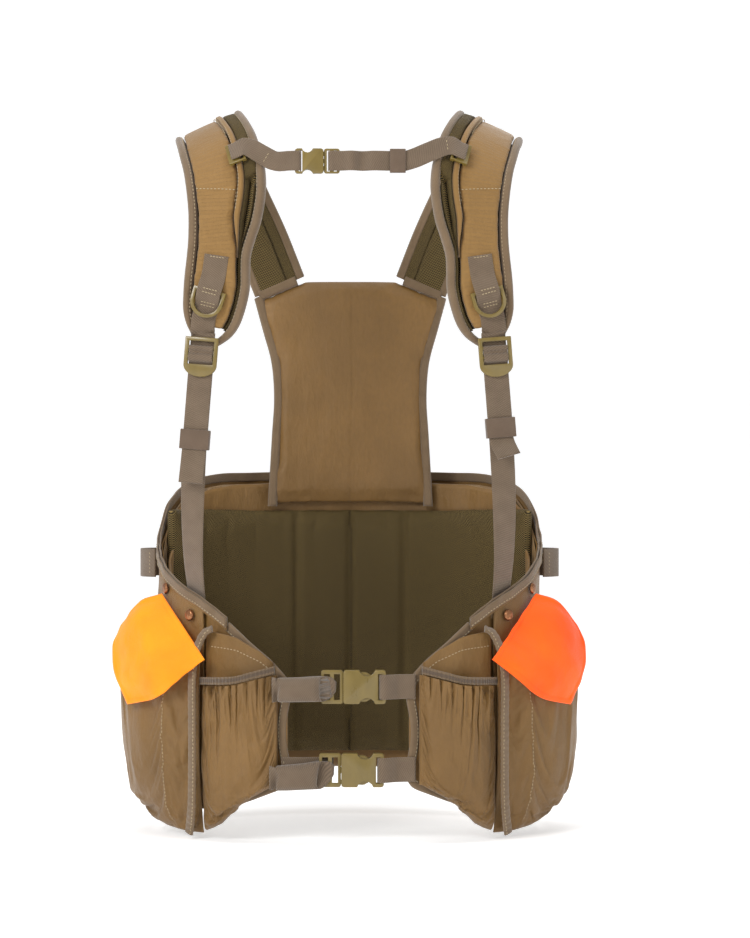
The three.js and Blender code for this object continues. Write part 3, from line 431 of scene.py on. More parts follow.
def rings_of(node, start, outward, columns=1, edge=None):
    """The corners of a long CAD solid as [ring, column, side, xyz]. start points off its first end;
    side 1 is the one that faces outward there. edge is a point and a direction along a straight
    first end."""
    work = welded(node)
    points = np.array([v.co for v in work.verts])
    near = [{e.other_vert(v).index for e in v.link_edges} for v in work.verts]
    work.free()
    start, outward = unit(start), unit(outward)
    across = np.cross(outward, start)
    count = 2 * (columns + 1)
    tip = int(np.argmax(points @ start))
    local = {tip}
    for _ in range(columns + 2):
        local |= set().union(*(near[k] for k in local))
    local = sorted(local, key=lambda k: -(points[k] @ start))[:count]
    if edge is not None:
        away = np.linalg.norm(np.cross(points - edge[0], unit(edge[1])), axis=1)
        local = [int(k) for k in np.argsort(away)[:count]]
    local.sort(key=lambda k: points[k] @ across)
    ring = []
    for column in range(columns + 1):
        ring += sorted(local[2 * column:2 * column + 2], key=lambda k: points[k] @ outward)
    rings, seen = [ring], set(ring)
    while True:
        front = sorted(set().union(*(near[k] for k in rings[-1])) - seen)
        if len(front) < count:
            break
        step = points[front].mean(0) - points[rings[-1]].mean(0)
        ring = []
        for k in rings[-1]:
            free = [j for j in front if j not in ring]
            choices = [j for j in free if j in near[k]] or free
            ring.append(min(choices, key=lambda j: np.linalg.norm(points[j] - points[k] - step)))
        rings.append(ring)
        seen |= set(front)
    corners = points[np.array(rings)].reshape(len(rings), columns + 1, 2, 3)
    return untwisted(corners) if columns == 1 else corners


def untwisted(corners):
    """Rings of four corners, with each ring's corners in the order of the ring before."""
    for before, ring in zip(corners[:-1], corners[1:]):
        wide = before[1].mean(0) - before[0].mean(0)
        thick = before[:, 1].mean(0) - before[:, 0].mean(0)
        four = ring.reshape(4, 3)
        four = four[np.argsort(four @ wide)]
        for column in (0, 1):
            pair = four[2 * column:2 * column + 2]
            ring[column] = pair[np.argsort(pair @ thick)]
    return corners


def joint_of(body):
    return next(j for j in frame["record"]["behaviour"]["joints"] if j["child"] == body)


def smooth_rows(rows, at):
    """Smooth values of rows at fractional row numbers, through every row."""
    rows = np.asarray(rows, float)
    last = len(rows) - 1
    at = np.clip(np.asarray(at, float), 0, last)
    k = np.minimum(at.astype(int), last - 1)
    f = (at - k).reshape((-1,) + (1,) * (rows.ndim - 1))
    padded = np.concatenate([[2 * rows[0] - rows[1]], rows, [2 * rows[-1] - rows[-2]]])
    a, b, c, d = padded[k], padded[k + 1], padded[k + 2], padded[k + 3]
    return b + 0.5 * f * (c - a + f * (2 * a - 5 * b + 4 * c - d + f * (3 * (b - c) + d - a)))


def even_rows(rows, step):
    """Rows resampled at an even spacing along their middle."""
    fine = np.linspace(0, len(rows) - 1, 12 * len(rows))
    middle = smooth_rows(rows, fine).reshape(len(fine), -1, 3).mean(1)
    gone = np.concatenate([[0], np.cumsum(np.linalg.norm(np.diff(middle, axis=0), axis=1))])
    count = max(int(gone[-1] / step), 4)
    return smooth_rows(rows, np.interp(np.linspace(0, gone[-1], count + 1), gone, fine))


def hug(angle, z, offset):
    """Points on the torso's outline, moved out by offset; angles are degrees from straight ahead."""
    angle, z, offset = np.broadcast_arrays(np.asarray(angle, float), z, offset)
    a = np.radians(angle)
    wide, deep = sizes().torso_half_width, sizes().torso_half_depth
    out = unit(np.stack([np.sin(a) / wide, -np.cos(a) / deep, np.zeros_like(a)], -1))
    spot = np.stack([wide * np.sin(a), -deep * np.cos(a), z], -1)
    return spot + out * offset[..., None]


def unhug(points):
    """The angle and offset of points round the torso."""
    turns = np.arange(0, 360, 0.1)
    outline = hug(turns, 0.0, 0.0)[:, :2]
    flat = np.asarray(points, float)[..., :2].reshape(-1, 2)
    near = np.array([np.argmin(((outline - p) ** 2).sum(1)) for p in flat])
    out = unit(hug(turns[near], 0.0, 0.01)[:, :2] - outline[near])
    offset = ((flat - outline[near]) * out).sum(1)
    shape = np.shape(points)[:-1]
    return turns[near].reshape(shape), offset.reshape(shape)


class Around:
    """A CAD node that lies round the torso, read by angle and height."""

    FAR = 0.2  # offset outside every node, where rays start
    DEEP = -0.06  # offset inside every node

    def __init__(self, node):
        work = welded(node)
        points = np.array([v.co for v in work.verts])
        self.tree = BVHTree.FromBMesh(work)
        work.free()
        angle, _ = unhug(points)
        self.first, self.last = float(angle.min()), float(angle.max())
        low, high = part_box(node)
        self.middle = (low.z + high.z) / 2

    def cast(self, origin, direction):
        hit = self.tree.ray_cast(Vector(origin), Vector(direction))[0]
        return None if hit is None else np.array(hit)

    def offsets(self, angle, z, outside=True):
        """Offset of the node's outer or inner face at each angle and height."""
        angle, z = np.broadcast_arrays(np.asarray(angle, float), z)
        start = hug(angle, z, self.FAR if outside else self.DEEP).reshape(-1, 3)
        aim = hug(angle, z, self.DEEP if outside else self.FAR).reshape(-1, 3)
        found = []
        for a, b in zip(start, aim):
            hit = self.cast(a, unit(b - a))
            gone = np.nan if hit is None else np.linalg.norm(hit - a)
            found.append(self.FAR - gone if outside else self.DEEP + gone)
        found = np.array(found)
        known = ~np.isnan(found)
        found[~known] = np.interp(np.flatnonzero(~known), np.flatnonzero(known), found[known])
        return found.reshape(angle.shape)

    def heights(self, angles):
        """Lowest and highest point of the node's back wall at each angle."""
        inner = self.offsets(angles, np.full(len(angles), self.middle), outside=False) + 0.0006
        limits = []
        for angle, offset in zip(angles, inner):
            spot = hug(angle, self.middle, offset)
            below = self.cast(spot - UP, UP)
            above = self.cast(spot + UP, -UP)
            limits.append((np.nan, np.nan) if below is None or above is None else (below[2], above[2]))
        limits = np.array(limits)
        known = ~np.isnan(limits[:, 0])
        return [np.interp(angles, np.asarray(angles)[known], limits[known, k]) for k in (0, 1)]


def blurred(field, times):
    """A grid of values with its kinks smoothed away; its edges keep to themselves."""
    for _ in range(times):
        for axis in (0, 1):
            ahead = np.roll(field, -1, axis)
            behind = np.roll(field, 1, axis)
            mean = 0.25 * ahead + 0.5 * field + 0.25 * behind
            keep = np.ones(field.shape[axis], bool)
            keep[[0, -1]] = False
            index = [slice(None)] * field.ndim
            index[axis] = keep
            field = field.copy()
            field[tuple(index)] = mean[tuple(index)]
    return field


def ease(t):
    t = np.clip(t, 0, 1)
    return t * t * (3 - 2 * t)


def ripple(points, scale, seed):
    """Smooth noise from about -1 to 1, with features of about scale."""
    grid = np.asarray(points, float) / scale + seed * 7.31
    flat = grid.reshape(-1, grid.shape[-1])
    values = np.array([noise.noise(Vector(p)) for p in flat])
    return 1.6 * values.reshape(grid.shape[:-1])


# ---------------------------------------------------------------- making meshes


def picked(piece):
    """Makes a piece the only selected one, and the active one."""
    bpy.ops.object.select_all(action="DESELECT")
    bpy.context.view_layer.objects.active = piece
    piece.select_set(True)


def new_piece(name, points, faces, uvs, finish, body="harness", replaced=(), slot=None):
    """A finished cloth piece. uvs holds one pair for each corner point."""
    mesh = bpy.data.meshes.new(name)
    mesh.from_pydata([tuple(p) for p in points], [], faces)
    mesh.update()
    layer = mesh.uv_layers.new(name=WEAVE)
    corner = np.empty(len(mesh.loops), np.int32)
    mesh.loops.foreach_get("vertex_index", corner)
    layer.data.foreach_set("uv", np.asarray(uvs, np.float32)[corner].ravel())
    piece = bpy.data.objects.new(name, mesh)
    bpy.context.scene.collection.objects.link(piece)
    return dressed(piece, finish, body, replaced)


def dressed(piece, finish, body="harness", replaced=()):
    """Gives a piece its finish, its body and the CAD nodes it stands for."""
    piece.data.materials.clear()
    piece.data.materials.append(finish_of(finish))
    piece.data.polygons.foreach_set("use_smooth", [True] * len(piece.data.polygons))
    if body is not None:
        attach(piece, body)
    if replaced:
        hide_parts(*replaced)
    return piece


def ring_faces(rings, count):
    """Faces that join rings of corner points."""
    faces = []
    for r in range(rings - 1):
        for k in range(count):
            n = (k + 1) % count
            faces.append((r * count + k, r * count + n, (r + 1) * count + n, (r + 1) * count + k))
    return faces


def faced_out(points, faces):
    """The faces, turned over if they enclose a negative volume."""
    volume = 0.0
    for face in faces:
        a = points[face[0]]
        for b, c in zip(face[1:-1], face[2:]):
            volume += np.dot(a, np.cross(points[b], points[c]))
    return faces if volume > 0 else [tuple(reversed(f)) for f in faces]


def strip(name, corners, finish, step=0.002, swell=None, fine=0.0022, **ways):
    """Webbing or tape along CAD rings, with rounded edges. swell(u, v) lifts both faces by metres."""
    rows = even_rows(corners, step)
    low, high = rows[:, 0], rows[:, -1]
    width = np.linalg.norm(high.mean(1) - low.mean(1), axis=1)
    thick = np.linalg.norm(low[:, 1] - low[:, 0], axis=1).mean()
    middle = rows.reshape(len(rows), -1, 3).mean(1)
    along = np.concatenate([[0], np.cumsum(np.linalg.norm(np.diff(middle, axis=0), axis=1))])
    wide = width.mean()
    half = min(thick / 2, 0.3 * wide)
    inner = np.linspace(half, wide - half, max(int(wide / fine), 4))
    edge = half * np.array([0, 0.08, 0.35])
    across = np.concatenate([edge, inner, wide - edge[::-1]])
    depth = np.minimum(np.minimum(across, wide - across) / half, 1)
    full = np.sqrt(1 - (1 - depth) ** 2)
    share = across / wide
    base, top = [], []
    for r in range(len(rows)):
        spots = [smooth_rows(rows[r, :, side], share * (rows.shape[1] - 1)) if rows.shape[1] > 2
                 else rows[r, 0, side] + (rows[r, 1, side] - rows[r, 0, side]) * share[:, None]
                 for side in (0, 1)]
        base.append(spots[0])
        top.append(spots[1])
    base, top = np.array(base), np.array(top)
    centre, rise = (base + top) / 2, (top - base) / 2 * full[None, :, None]
    lift = 0.0
    if swell is not None:
        out = unit(top - base)
        amount = swell(along[:, None], across[None, :])
        lift = out * np.broadcast_to(amount, out.shape[:2])[..., None]
    upper, lower = centre + rise + lift, centre - rise + lift
    count = 2 * len(share) - 2
    loop = np.concatenate([upper, lower[:, -2:0:-1]], axis=1)
    v = np.concatenate([across, across[-2:0:-1]])
    uvs = np.stack(np.broadcast_arrays(along[:, None], v[None, :]), -1).reshape(-1, 2)
    points = loop.reshape(-1, 3)
    faces = ring_faces(len(rows), count)
    for r in (0, len(rows) - 1):
        first = r * count
        cap = [(first + k, first + k + 1, first + count - k - 1, first + (count - k) % count)
               for k in range(len(share) - 1)]
        cap = [tuple(dict.fromkeys(f)) for f in cap]
        faces += cap if r else [tuple(reversed(f)) for f in cap]
    piece = new_piece(name, points, faced_out(points, faces), uvs, finish, **ways)
    return piece, Surface(upper, share, along)


class Surface:
    """The outer face of a strip or sheet, for stitching on."""

    def __init__(self, points, share, along):
        self.points = points
        self.share = share
        self.along = along

    def line(self, share, first=0.0, last=1.0):
        """Points and normals along the strip at a share of its width."""
        column = share * (self.points.shape[1] - 1)
        if self.share is not None:
            column = np.interp(share, self.share, np.arange(len(self.share)))
        k = min(int(column), self.points.shape[1] - 2)
        f = column - k
        path = self.points[:, k] * (1 - f) + self.points[:, k + 1] * f
        side = unit(self.points[:, min(k + 2, self.points.shape[1] - 1)] - self.points[:, max(k - 1, 0)])
        run = unit(np.gradient(path, axis=0))
        a, b = int(first * (len(path) - 1)), int(last * (len(path) - 1)) + 1
        return path[a:b], np.cross(run, side)[a:b]

    def crossing(self, row_share, first=0.08, last=0.92):
        """Points and normals across the strip at a share of its length."""
        row = int(row_share * (len(self.points) - 1))
        path = self.points[row]
        ahead = self.points[min(row + 1, len(self.points) - 1)] - self.points[max(row - 1, 0)]
        run = unit(np.gradient(path, axis=0))
        out = np.cross(unit(ahead), run)
        share = self.share if self.share is not None else np.linspace(0, 1, len(path))
        keep = (share >= first) & (share <= last)
        return path[keep], out[keep]


def bead():
    """One stitch: a small rounded bar, modelled once and copied."""
    bpy.ops.object.select_all(action="DESELECT")
    bpy.ops.mesh.primitive_uv_sphere_add(segments=6, ring_count=4, radius=1.0)
    made = bpy.context.object
    points = np.array([v.co for v in made.data.vertices])[:, [2, 0, 1]]
    faces = [tuple(p.vertices) for p in made.data.polygons]
    bpy.data.meshes.remove(made.data)
    return points, faces


def stitches(name, lines, body="harness", spacing=None, outward=None):
    """Rows of stitches along lines of points and normals, as one piece."""
    dims = sizes()
    shape, shape_faces = bead()
    points, faces = [], []
    for path, out in lines:
        gone = np.concatenate([[0], np.cumsum(np.linalg.norm(np.diff(path, axis=0), axis=1))])
        at = np.arange(dims.stitch_gap * 0.6, gone[-1] - dims.stitch * 0.5, spacing or dims.stitch_gap)
        spots = np.stack([np.interp(at, gone, path[:, k]) for k in range(3)], -1)
        norms = unit(np.stack([np.interp(at, gone, out[:, k]) for k in range(3)], -1))
        ahead = np.stack([np.interp(at + 1e-4, gone, path[:, k]) for k in range(3)], -1) - spots
        if outward is not None:
            norms = norms * np.sign((norms * np.asarray(outward)).sum(1, keepdims=True))
        for spot, normal, run in zip(spots, norms, unit(ahead)):
            side = unit(np.cross(normal, run))
            basis = np.stack([run * dims.stitch / 2, side * dims.thread, normal * dims.thread])
            first = len(points)
            points += list(spot + normal * dims.thread * 0.35 + shape @ basis)
            faces += [tuple(first + k for k in f) for f in shape_faces]
    points = np.array(points)
    return new_piece(name, points, faces, points[:, [0, 2]], "thread", body=body)


def shell(name, grid, thickness, finish, **ways):
    """A sheet with a grid of points on its outer face, and a thickness behind it."""
    grid = np.asarray(grid, float)
    rows, columns = grid.shape[:2]
    down, right = np.gradient(grid, axis=0), np.gradient(grid, axis=1)
    normal = unit(np.cross(right, down))
    if (normal[..., :2] * grid[..., :2]).sum() < 0:
        normal = -normal
    behind = grid - normal * thickness
    u = np.concatenate([np.zeros((1, columns)), np.cumsum(np.linalg.norm(np.diff(grid, axis=0), axis=2), 0)])
    v = np.concatenate([np.zeros((rows, 1)), np.cumsum(np.linalg.norm(np.diff(grid, axis=1), axis=2), 1)], 1)
    uvs = np.concatenate([np.stack([u, v], -1).reshape(-1, 2)] * 2)
    points = np.concatenate([grid.reshape(-1, 3), behind.reshape(-1, 3)])
    index = np.arange(rows * columns).reshape(rows, columns)
    back = index + rows * columns
    faces = []
    for r in range(rows - 1):
        for c in range(columns - 1):
            faces.append((index[r, c], index[r, c + 1], index[r + 1, c + 1], index[r + 1, c]))
            faces.append((back[r, c], back[r + 1, c], back[r + 1, c + 1], back[r, c + 1]))
    rim = ([(index[0, c], back[0, c], back[0, c + 1], index[0, c + 1]) for c in range(columns - 1)]
           + [(index[-1, c + 1], back[-1, c + 1], back[-1, c], index[-1, c]) for c in range(columns - 1)]
           + [(index[r + 1, 0], back[r + 1, 0], back[r, 0], index[r, 0]) for r in range(rows - 1)]
           + [(index[r, -1], back[r, -1], back[r + 1, -1], index[r + 1, -1]) for r in range(rows - 1)])
    faces = [tuple(int(k) for k in f) for f in faces + rim]
    piece = new_piece(name, points, faced_out(points, faces), uvs, finish, **ways)
    return piece, Surface(grid.swapaxes(0, 1), None, None)


def mirrored(grid, side):
    """A grid of points for the wearer's left, turned over for the right."""
    return np.asarray(grid) * np.array((side, 1, 1))


SETTLE_FRAMES = 20  # frames of each cloth simulation
CLOTH_MASS = 0.2
CLOTH_STIFFNESS = 0.6
CLOTH_WEIGHT = 0.3  # share of gravity that the hanging cloth feels


def settled(grid, pins, slack, pressure, stretch):
    """Lets a sheet of cloth find its own folds: pinned where pins is 1, with more cloth than the
    shape needs. A point moves no further than slack."""
    grid = np.asarray(grid, float)
    rows, columns = grid.shape[:2]
    flat = grid.reshape(-1, 3)
    index = np.arange(rows * columns).reshape(rows, columns)
    faces = [(int(index[r, c]), int(index[r, c + 1]), int(index[r + 1, c + 1]), int(index[r + 1, c]))
             for r in range(rows - 1) for c in range(columns - 1)]
    mesh = bpy.data.meshes.new("settling")
    mesh.from_pydata([tuple(p) for p in flat], [], faces)
    mesh.update()
    piece = bpy.data.objects.new("settling", mesh)
    bpy.context.scene.collection.objects.link(piece)
    group = piece.vertex_groups.new(name="pins")
    for k, weight in enumerate(np.asarray(pins).ravel()):
        group.add([k], float(weight), "REPLACE")
    cloth = piece.modifiers.new("cloth", "CLOTH").settings
    cloth.vertex_group_mass = "pins"
    cloth.shrink_min = -stretch
    cloth.use_pressure = pressure != 0
    cloth.uniform_pressure_force = pressure
    cloth.mass = CLOTH_MASS
    cloth.bending_stiffness = CLOTH_STIFFNESS
    cloth.quality = 5
    cloth.effector_weights.gravity = CLOTH_WEIGHT
    scene = bpy.context.scene
    for step in range(1, SETTLE_FRAMES + 1):
        scene.frame_set(step)
    evaluated = piece.evaluated_get(bpy.context.evaluated_depsgraph_get())
    moved = np.empty(len(flat) * 3)
    evaluated.data.vertices.foreach_get("co", moved)
    moved = moved.reshape(-1, 3)
    bpy.data.objects.remove(piece)
    bpy.data.meshes.remove(mesh)
    scene.frame_set(1)
    change = moved - flat
    far = np.linalg.norm(change, axis=1, keepdims=True)
    change *= np.minimum(1, slack / np.maximum(far, 1e-9))
    return (flat + change).reshape(grid.shape)


def filled_pad(name, nodes, voxel, pressure, swell):
    """A padded piece: the CAD solids as one skin, filled from inside like a cushion."""
    work = bmesh.new()
    for node in nodes:
        part = welded(node)
        mesh = bpy.data.meshes.new("part")
        part.to_mesh(mesh)
        part.free()
        work.from_mesh(mesh)
        bpy.data.meshes.remove(mesh)
    mesh = bpy.data.meshes.new(name)
    work.to_mesh(mesh)
    work.free()
    pad = bpy.data.objects.new(name, mesh)
    bpy.context.scene.collection.objects.link(pad)
    picked(pad)
    remesh = pad.modifiers.new("remesh", "REMESH")
    remesh.mode = "VOXEL"
    remesh.voxel_size = voxel
    bpy.ops.object.modifier_apply(modifier="remesh")
    smooth = pad.modifiers.new("smooth", "SMOOTH")
    smooth.iterations = 4
    bpy.ops.object.modifier_apply(modifier="smooth")
    rest = np.array([v.co for v in pad.data.vertices])
    cloth = pad.modifiers.new("cloth", "CLOTH")
    cloth.settings.use_pressure = True
    cloth.settings.uniform_pressure_force = pressure
    cloth.settings.effector_weights.gravity = 0.0
    for step in range(1, SETTLE_FRAMES + 1):
        bpy.context.scene.frame_set(step)
    bpy.ops.object.modifier_apply(modifier="cloth")
    bpy.context.scene.frame_set(1)
    now = np.array([v.co for v in pad.data.vertices])
    change = now - rest
    far = np.linalg.norm(change, axis=1, keepdims=True)
    now = rest + change * np.minimum(1, swell / np.maximum(far, 1e-9))
    pad.data.vertices.foreach_set("co", now.astype(np.float32).ravel())
    pad.data.update()
    finer = pad.modifiers.new("finer", "SUBSURF")
    finer.levels = finer.render_levels = 1
    bpy.ops.object.modifier_apply(modifier="finer")
    layer = pad.data.uv_layers.new(name=WEAVE)
    corner = np.empty(len(pad.data.loops), np.int32)
    pad.data.loops.foreach_get("vertex_index", corner)
    co = np.array([v.co for v in pad.data.vertices])
    angle = np.arctan2(co[:, 0], -co[:, 1])
    uvs = np.stack([co[:, 2], angle * 0.16], -1)
    layer.data.foreach_set("uv", uvs[corner].astype(np.float32).ravel())
    return pad


# ---------------------------------------------------------------- shoulder straps

STRAP_START = (-0.37, 0.18, -0.92)
BINDING_START = (0.3, 0.7, -0.9)
BACKWARD = (0, 1, 0)
FORWARD = (0, -1, 0)
STRAP_VOXEL = 0.0024
STRAP_PRESSURE = 2.0
OVERLAY_SEAM = 0.735  # where the seam crosses the strap's face, as a share from the yoke


def strap_rings(node, label, columns, start=STRAP_START):
    """Rings of a left strap's node, turned over for the right strap."""
    return mirrored(rings_of(f"{node}_left", start, BACKWARD, columns), SIDES[label])


def make_strap_pads(label):
    """The strap's foam and smooth face cloth, filled like a pad."""
    nodes = [f"strap_foam_{label}", f"strap_face_{label}"]
    pad = filled_pad(f"strap_pad_{label}", nodes, STRAP_VOXEL, STRAP_PRESSURE, sizes().strap_swell)
    rings = even_rows(strap_rings("strap_face", label, 3), 0.004)
    middle = rings.mean((1, 2))
    across = unit(rings[:, -1].mean(1) - rings[:, 0].mean(1))
    along = np.concatenate([[0], np.cumsum(np.linalg.norm(np.diff(middle, axis=0), axis=1))])
    co = np.array([v.co for v in pad.data.vertices])
    near = np.array([np.argmin(((middle - p) ** 2).sum(1)) for p in co])
    uvs = np.stack([along[near], ((co - middle[near]) * across[near]).sum(1)], -1)
    corner = np.empty(len(pad.data.loops), np.int32)
    pad.data.loops.foreach_get("vertex_index", corner)
    pad.data.uv_layers[WEAVE].data.foreach_set("uv", uvs[corner].astype(np.float32).ravel())
    dressed(pad, "face_fabric", "harness", nodes)
    return rings


def make_strap_face_stitching(label, rings):
    """The overlay seam across the strap and the stitch line along its neck side."""
    top = rings[:, :, 1]
    out = unit(rings[:, :, 1] - rings[:, :, 0])
    seam_row = int(OVERLAY_SEAM * len(top))
    lines = []
    share = np.linspace(0.02, 3.0, 40)
    seam = smooth_rows(top[seam_row], share) + out[seam_row].mean(0) * 0.0016
    lines.append((seam, np.repeat(out[seam_row].mean(0)[None], 40, 0)))
    neck = top[:seam_row + 4, -1] * 0.93 + top[:seam_row + 4, -2] * 0.07 + out[:seam_row + 4, -1] * 0.0013
    lines.append((neck, out[:seam_row + 4, -1]))
    stitches(f"strap_face_stitches_{label}", lines)


def make_strap_lining(label):
    """The spacer mesh under the strap, which shows as a strip on its neck side."""
    corners = strap_rings("strap_mesh_lining", label, 3)
    tuck = sizes().tuck
    corners[:, 0] += unit(corners[:, 0] - corners[:, 1]) * tuck
    corners[:, -1] += unit(corners[:, -1] - corners[:, -2]) * tuck
    strip(f"strap_mesh_{label}", corners, "lining_mesh", 0.003, body="harness",
          replaced=[f"strap_mesh_lining_{label}"], slot="lining_mesh")


def make_strap_fold(label):
    """The folded cloth between the face and the mesh strip."""
    corners = strap_rings("strap_piping", label, 1)
    _, face = strip(f"strap_fold_{label}", corners, "face_fabric", 0.003, fine=0.0008,
                    replaced=[f"strap_piping_{label}"], slot="face_fabric")
    stitches(f"strap_fold_stitches_{label}", [face.line(0.22, 0.0, 0.9)])


def make_strap_binding(label):
    """The woven tape round the strap's edge, dimpled along its stitches."""
    dims = sizes()
    corners = strap_rings("strap_binding", label, 1, BINDING_START)

    def quilt(along, across):
        dimple = np.exp(-((across - 0.0085) / 0.0012) ** 2)
        pull = 0.5 + 0.5 * np.cos(2 * np.pi * along / dims.stitch_gap)
        crown = 0.0011 * np.sin(np.pi * np.clip(across / 0.0085, 0, 1))
        return crown - 0.0006 * dimple * (0.6 + 0.4 * pull)

    _, face = strip(f"strap_binding_tape_{label}", corners, "binding_tape", 0.0013, quilt, fine=0.0009,
                    replaced=[f"strap_binding_{label}"], slot="binding_tape")
    stitches(f"strap_binding_stitches_{label}", [face.line(0.84, 0.01, 0.99)])


def make_strap_webbing(label):
    """The anchor and adjuster webbing, with the anchor's bar stitches."""
    side = SIDES[label]
    anchor = rings_of(f"anchor_webbing_{label}", (-0.15 * side, 0.15, 1.0), FORWARD, 1)
    _, face = strip(f"anchor_tape_{label}", anchor, "webbing", 0.0018,
                    replaced=[f"anchor_webbing_{label}"], slot="webbing")
    bars = [face.crossing(share) for share in (0.03, 0.335, 0.37, 0.475, 0.5)]
    stitches(f"anchor_stitches_{label}", bars, spacing=0.0031, outward=FORWARD)
    adjuster = rings_of(f"adjuster_webbing_{label}", (0.0, 0.5, -0.86), (0.8 * side, -0.5, -0.3), 1)
    tape, _ = strip(f"adjuster_tape_{label}", adjuster, "webbing", 0.0022, body=None,
                    replaced=[f"adjuster_webbing_{label}"], slot="webbing")
    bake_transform(tape)
    make_lock_fold(label)
    keeper = frame["nodes"][f"adjuster_keeper_{label}"]
    soft_keeper(keeper, f"adjuster_sleeve_{label}", "harness")


LOCK_FOLD = (0.0048, 0.0036, 0.0021)  # the fold's middle from the bar, and its half height and half depth
LOCK_FOLD_PLACES = (-0.01245, -0.0121, -0.006, 0.0, 0.006, 0.0121, 0.01245)  # across the webbing
LOCK_FOLD_SHARES = (0.55, 1, 1, 1, 1, 1, 0.55)  # of its full section at each place


def make_lock_fold(label):
    """The fold of webbing that fills a ladder lock's window between its two bars."""
    joint = joint_of(f"ladder_lock_{label}")
    bar, across = np.array(joint["pos_m"]), unit(joint["axis"])
    low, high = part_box(f"ladder_lock_{label}")
    down = np.array((low + high) / 2) - bar
    down = unit(down - across * (down @ across))
    out = unit(np.cross(across, down))
    out = out * -np.sign(out[1])
    turns = np.linspace(0, 2 * np.pi, 20, endpoint=False)
    drop, tall, deep = LOCK_FOLD
    ring = (bar + down * drop + np.cos(turns)[:, None] * down * tall
            + np.sin(turns)[:, None] * out * deep)
    places = np.array(LOCK_FOLD_PLACES)
    narrow = np.array(LOCK_FOLD_SHARES)
    centre = ring.mean(0)
    rings = np.array([centre + (ring - centre) * n + across * p for p, n in zip(places, narrow)])
    count = len(turns)
    faces = ring_faces(len(rings), count)
    faces += [tuple(range(count)), tuple(reversed(range((len(rings) - 1) * count, len(rings) * count)))]
    points = rings.reshape(-1, 3)
    uvs = np.stack(np.broadcast_arrays(turns[None, :] * 0.003, places[:, None]), -1).reshape(-1, 2)
    new_piece(f"lock_fold_{label}", points, faced_out(points, faces), uvs, "webbing",
              body=f"ladder_lock_{label}", slot="webbing")


def soft_keeper(node, name, body):
    """An elastic sleeve, from a merged copy of its CAD solid, with rounded edges."""
    work = welded(node.name)
    mesh = bpy.data.meshes.new(name)
    work.to_mesh(mesh)
    work.free()
    piece = bpy.data.objects.new(name, mesh)
    bpy.context.scene.collection.objects.link(piece)
    picked(piece)
    bpy.ops.object.mode_set(mode="EDIT")
    bpy.ops.mesh.select_all(action="SELECT")
    bpy.ops.mesh.dissolve_limited(angle_limit=math.radians(3))
    bpy.ops.mesh.bevel(offset=0.0006, segments=2, affect="EDGES")
    bpy.ops.uv.cube_project(cube_size=1.0)
    bpy.ops.object.mode_set(mode="OBJECT")
    piece.data.uv_layers[0].name = WEAVE
    return dressed(piece, "elastic", body, [node.name])


def polish(node, finish):
    """A moulded CAD fitting keeps its shape: its edges are rounded, and it gets its finish."""
    fitting = frame["nodes"][node]
    fitting.data.materials.clear()
    fitting.data.materials.append(finish_of(finish))
    weld = fitting.modifiers.new("weld", "WELD")
    weld.merge_threshold = MERGE
    flat = fitting.modifiers.new("flat", "DECIMATE")
    flat.decimate_type = "DISSOLVE"
    flat.angle_limit = math.radians(2)
    edges = fitting.modifiers.new("edges", "BEVEL")
    edges.width = sizes().edge_round
    edges.segments = 2
    edges.limit_method = "ANGLE"
    edges.angle_limit = math.radians(38)
    edges.harden_normals = False
    picked(fitting)
    bpy.ops.object.shade_smooth_by_angle(angle=math.radians(35))


# ---------------------------------------------------------------- front fastenings


def make_sternum_strap():
    """The chest strap's webbing, its keeper and its folded end."""
    right = rings_of("sternum_webbing_right", (0.3, 0.9, 0.0), FORWARD, 1)
    _, face = strip("chest_tape_right", right, "webbing", 0.0018, body="sternum_strap",
                    replaced=["sternum_webbing_right"], slot="webbing")
    stitches("chest_stitches_right", [face.crossing(0.52)], body="sternum_strap", outward=FORWARD)
    left = rings_of("sternum_webbing_left", (-0.2, 0.9, 0.0), FORWARD, 1)
    tape, face = strip("chest_tape_left", left, "webbing", 0.0018, body=None,
                       replaced=["sternum_webbing_left"], slot="webbing")
    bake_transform(tape)
    stitches("chest_stitches_left", [face.crossing(0.86)], body="sternum_strap", outward=FORWARD)
    soft_keeper(frame["nodes"]["sternum_keeper"], "chest_sleeve", "sternum_strap")


def make_waist_strap(level):
    """One waist strap: the sewn run, the rolled tail and the fixed side."""
    corners = rings_of(f"waist_{level}_webbing_right", (-1.0, 0.0, 0.0), FORWARD, 1)
    middle = corners.mean((1, 2))
    turn = int(np.argmax(middle[:, 0]))
    run, _ = strip(f"waist_run_{level}", corners[:turn + 1], "webbing", 0.0018, body=None,
                   slot="webbing")
    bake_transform(run)
    _, face = strip(f"waist_tail_{level}", corners[turn:], "webbing", 0.0014,
                    body=f"waist_{level}_male", replaced=[f"waist_{level}_webbing_right"], slot="webbing")
    stitches(f"waist_tail_stitches_{level}", [face.crossing(0.3), face.crossing(0.97)],
             body=f"waist_{level}_male")
    fixed = rings_of(f"waist_{level}_webbing_left", (-0.2, 1.0, 0.0), FORWARD, 1)
    _, face = strip(f"waist_fixed_{level}", fixed, "webbing", 0.0016,
                    replaced=[f"waist_{level}_webbing_left"], slot="webbing")
    zigzag = [face.crossing(0.8), face.crossing(0.86), face.crossing(0.92)]
    stitches(f"waist_fixed_stitches_{level}", zigzag, outward=FORWARD)


FITTINGS = ["sternum_buckle_female", "sternum_buckle_male", "sternum_slider_left", "sternum_slider_right",
            "waist_upper_buckle_female", "waist_upper_buckle_male", "waist_lower_buckle_female",
            "waist_lower_buckle_male", "d_ring_left", "d_ring_right", "ladder_lock_left", "ladder_lock_right"]


# ---------------------------------------------------------------- panels and pockets


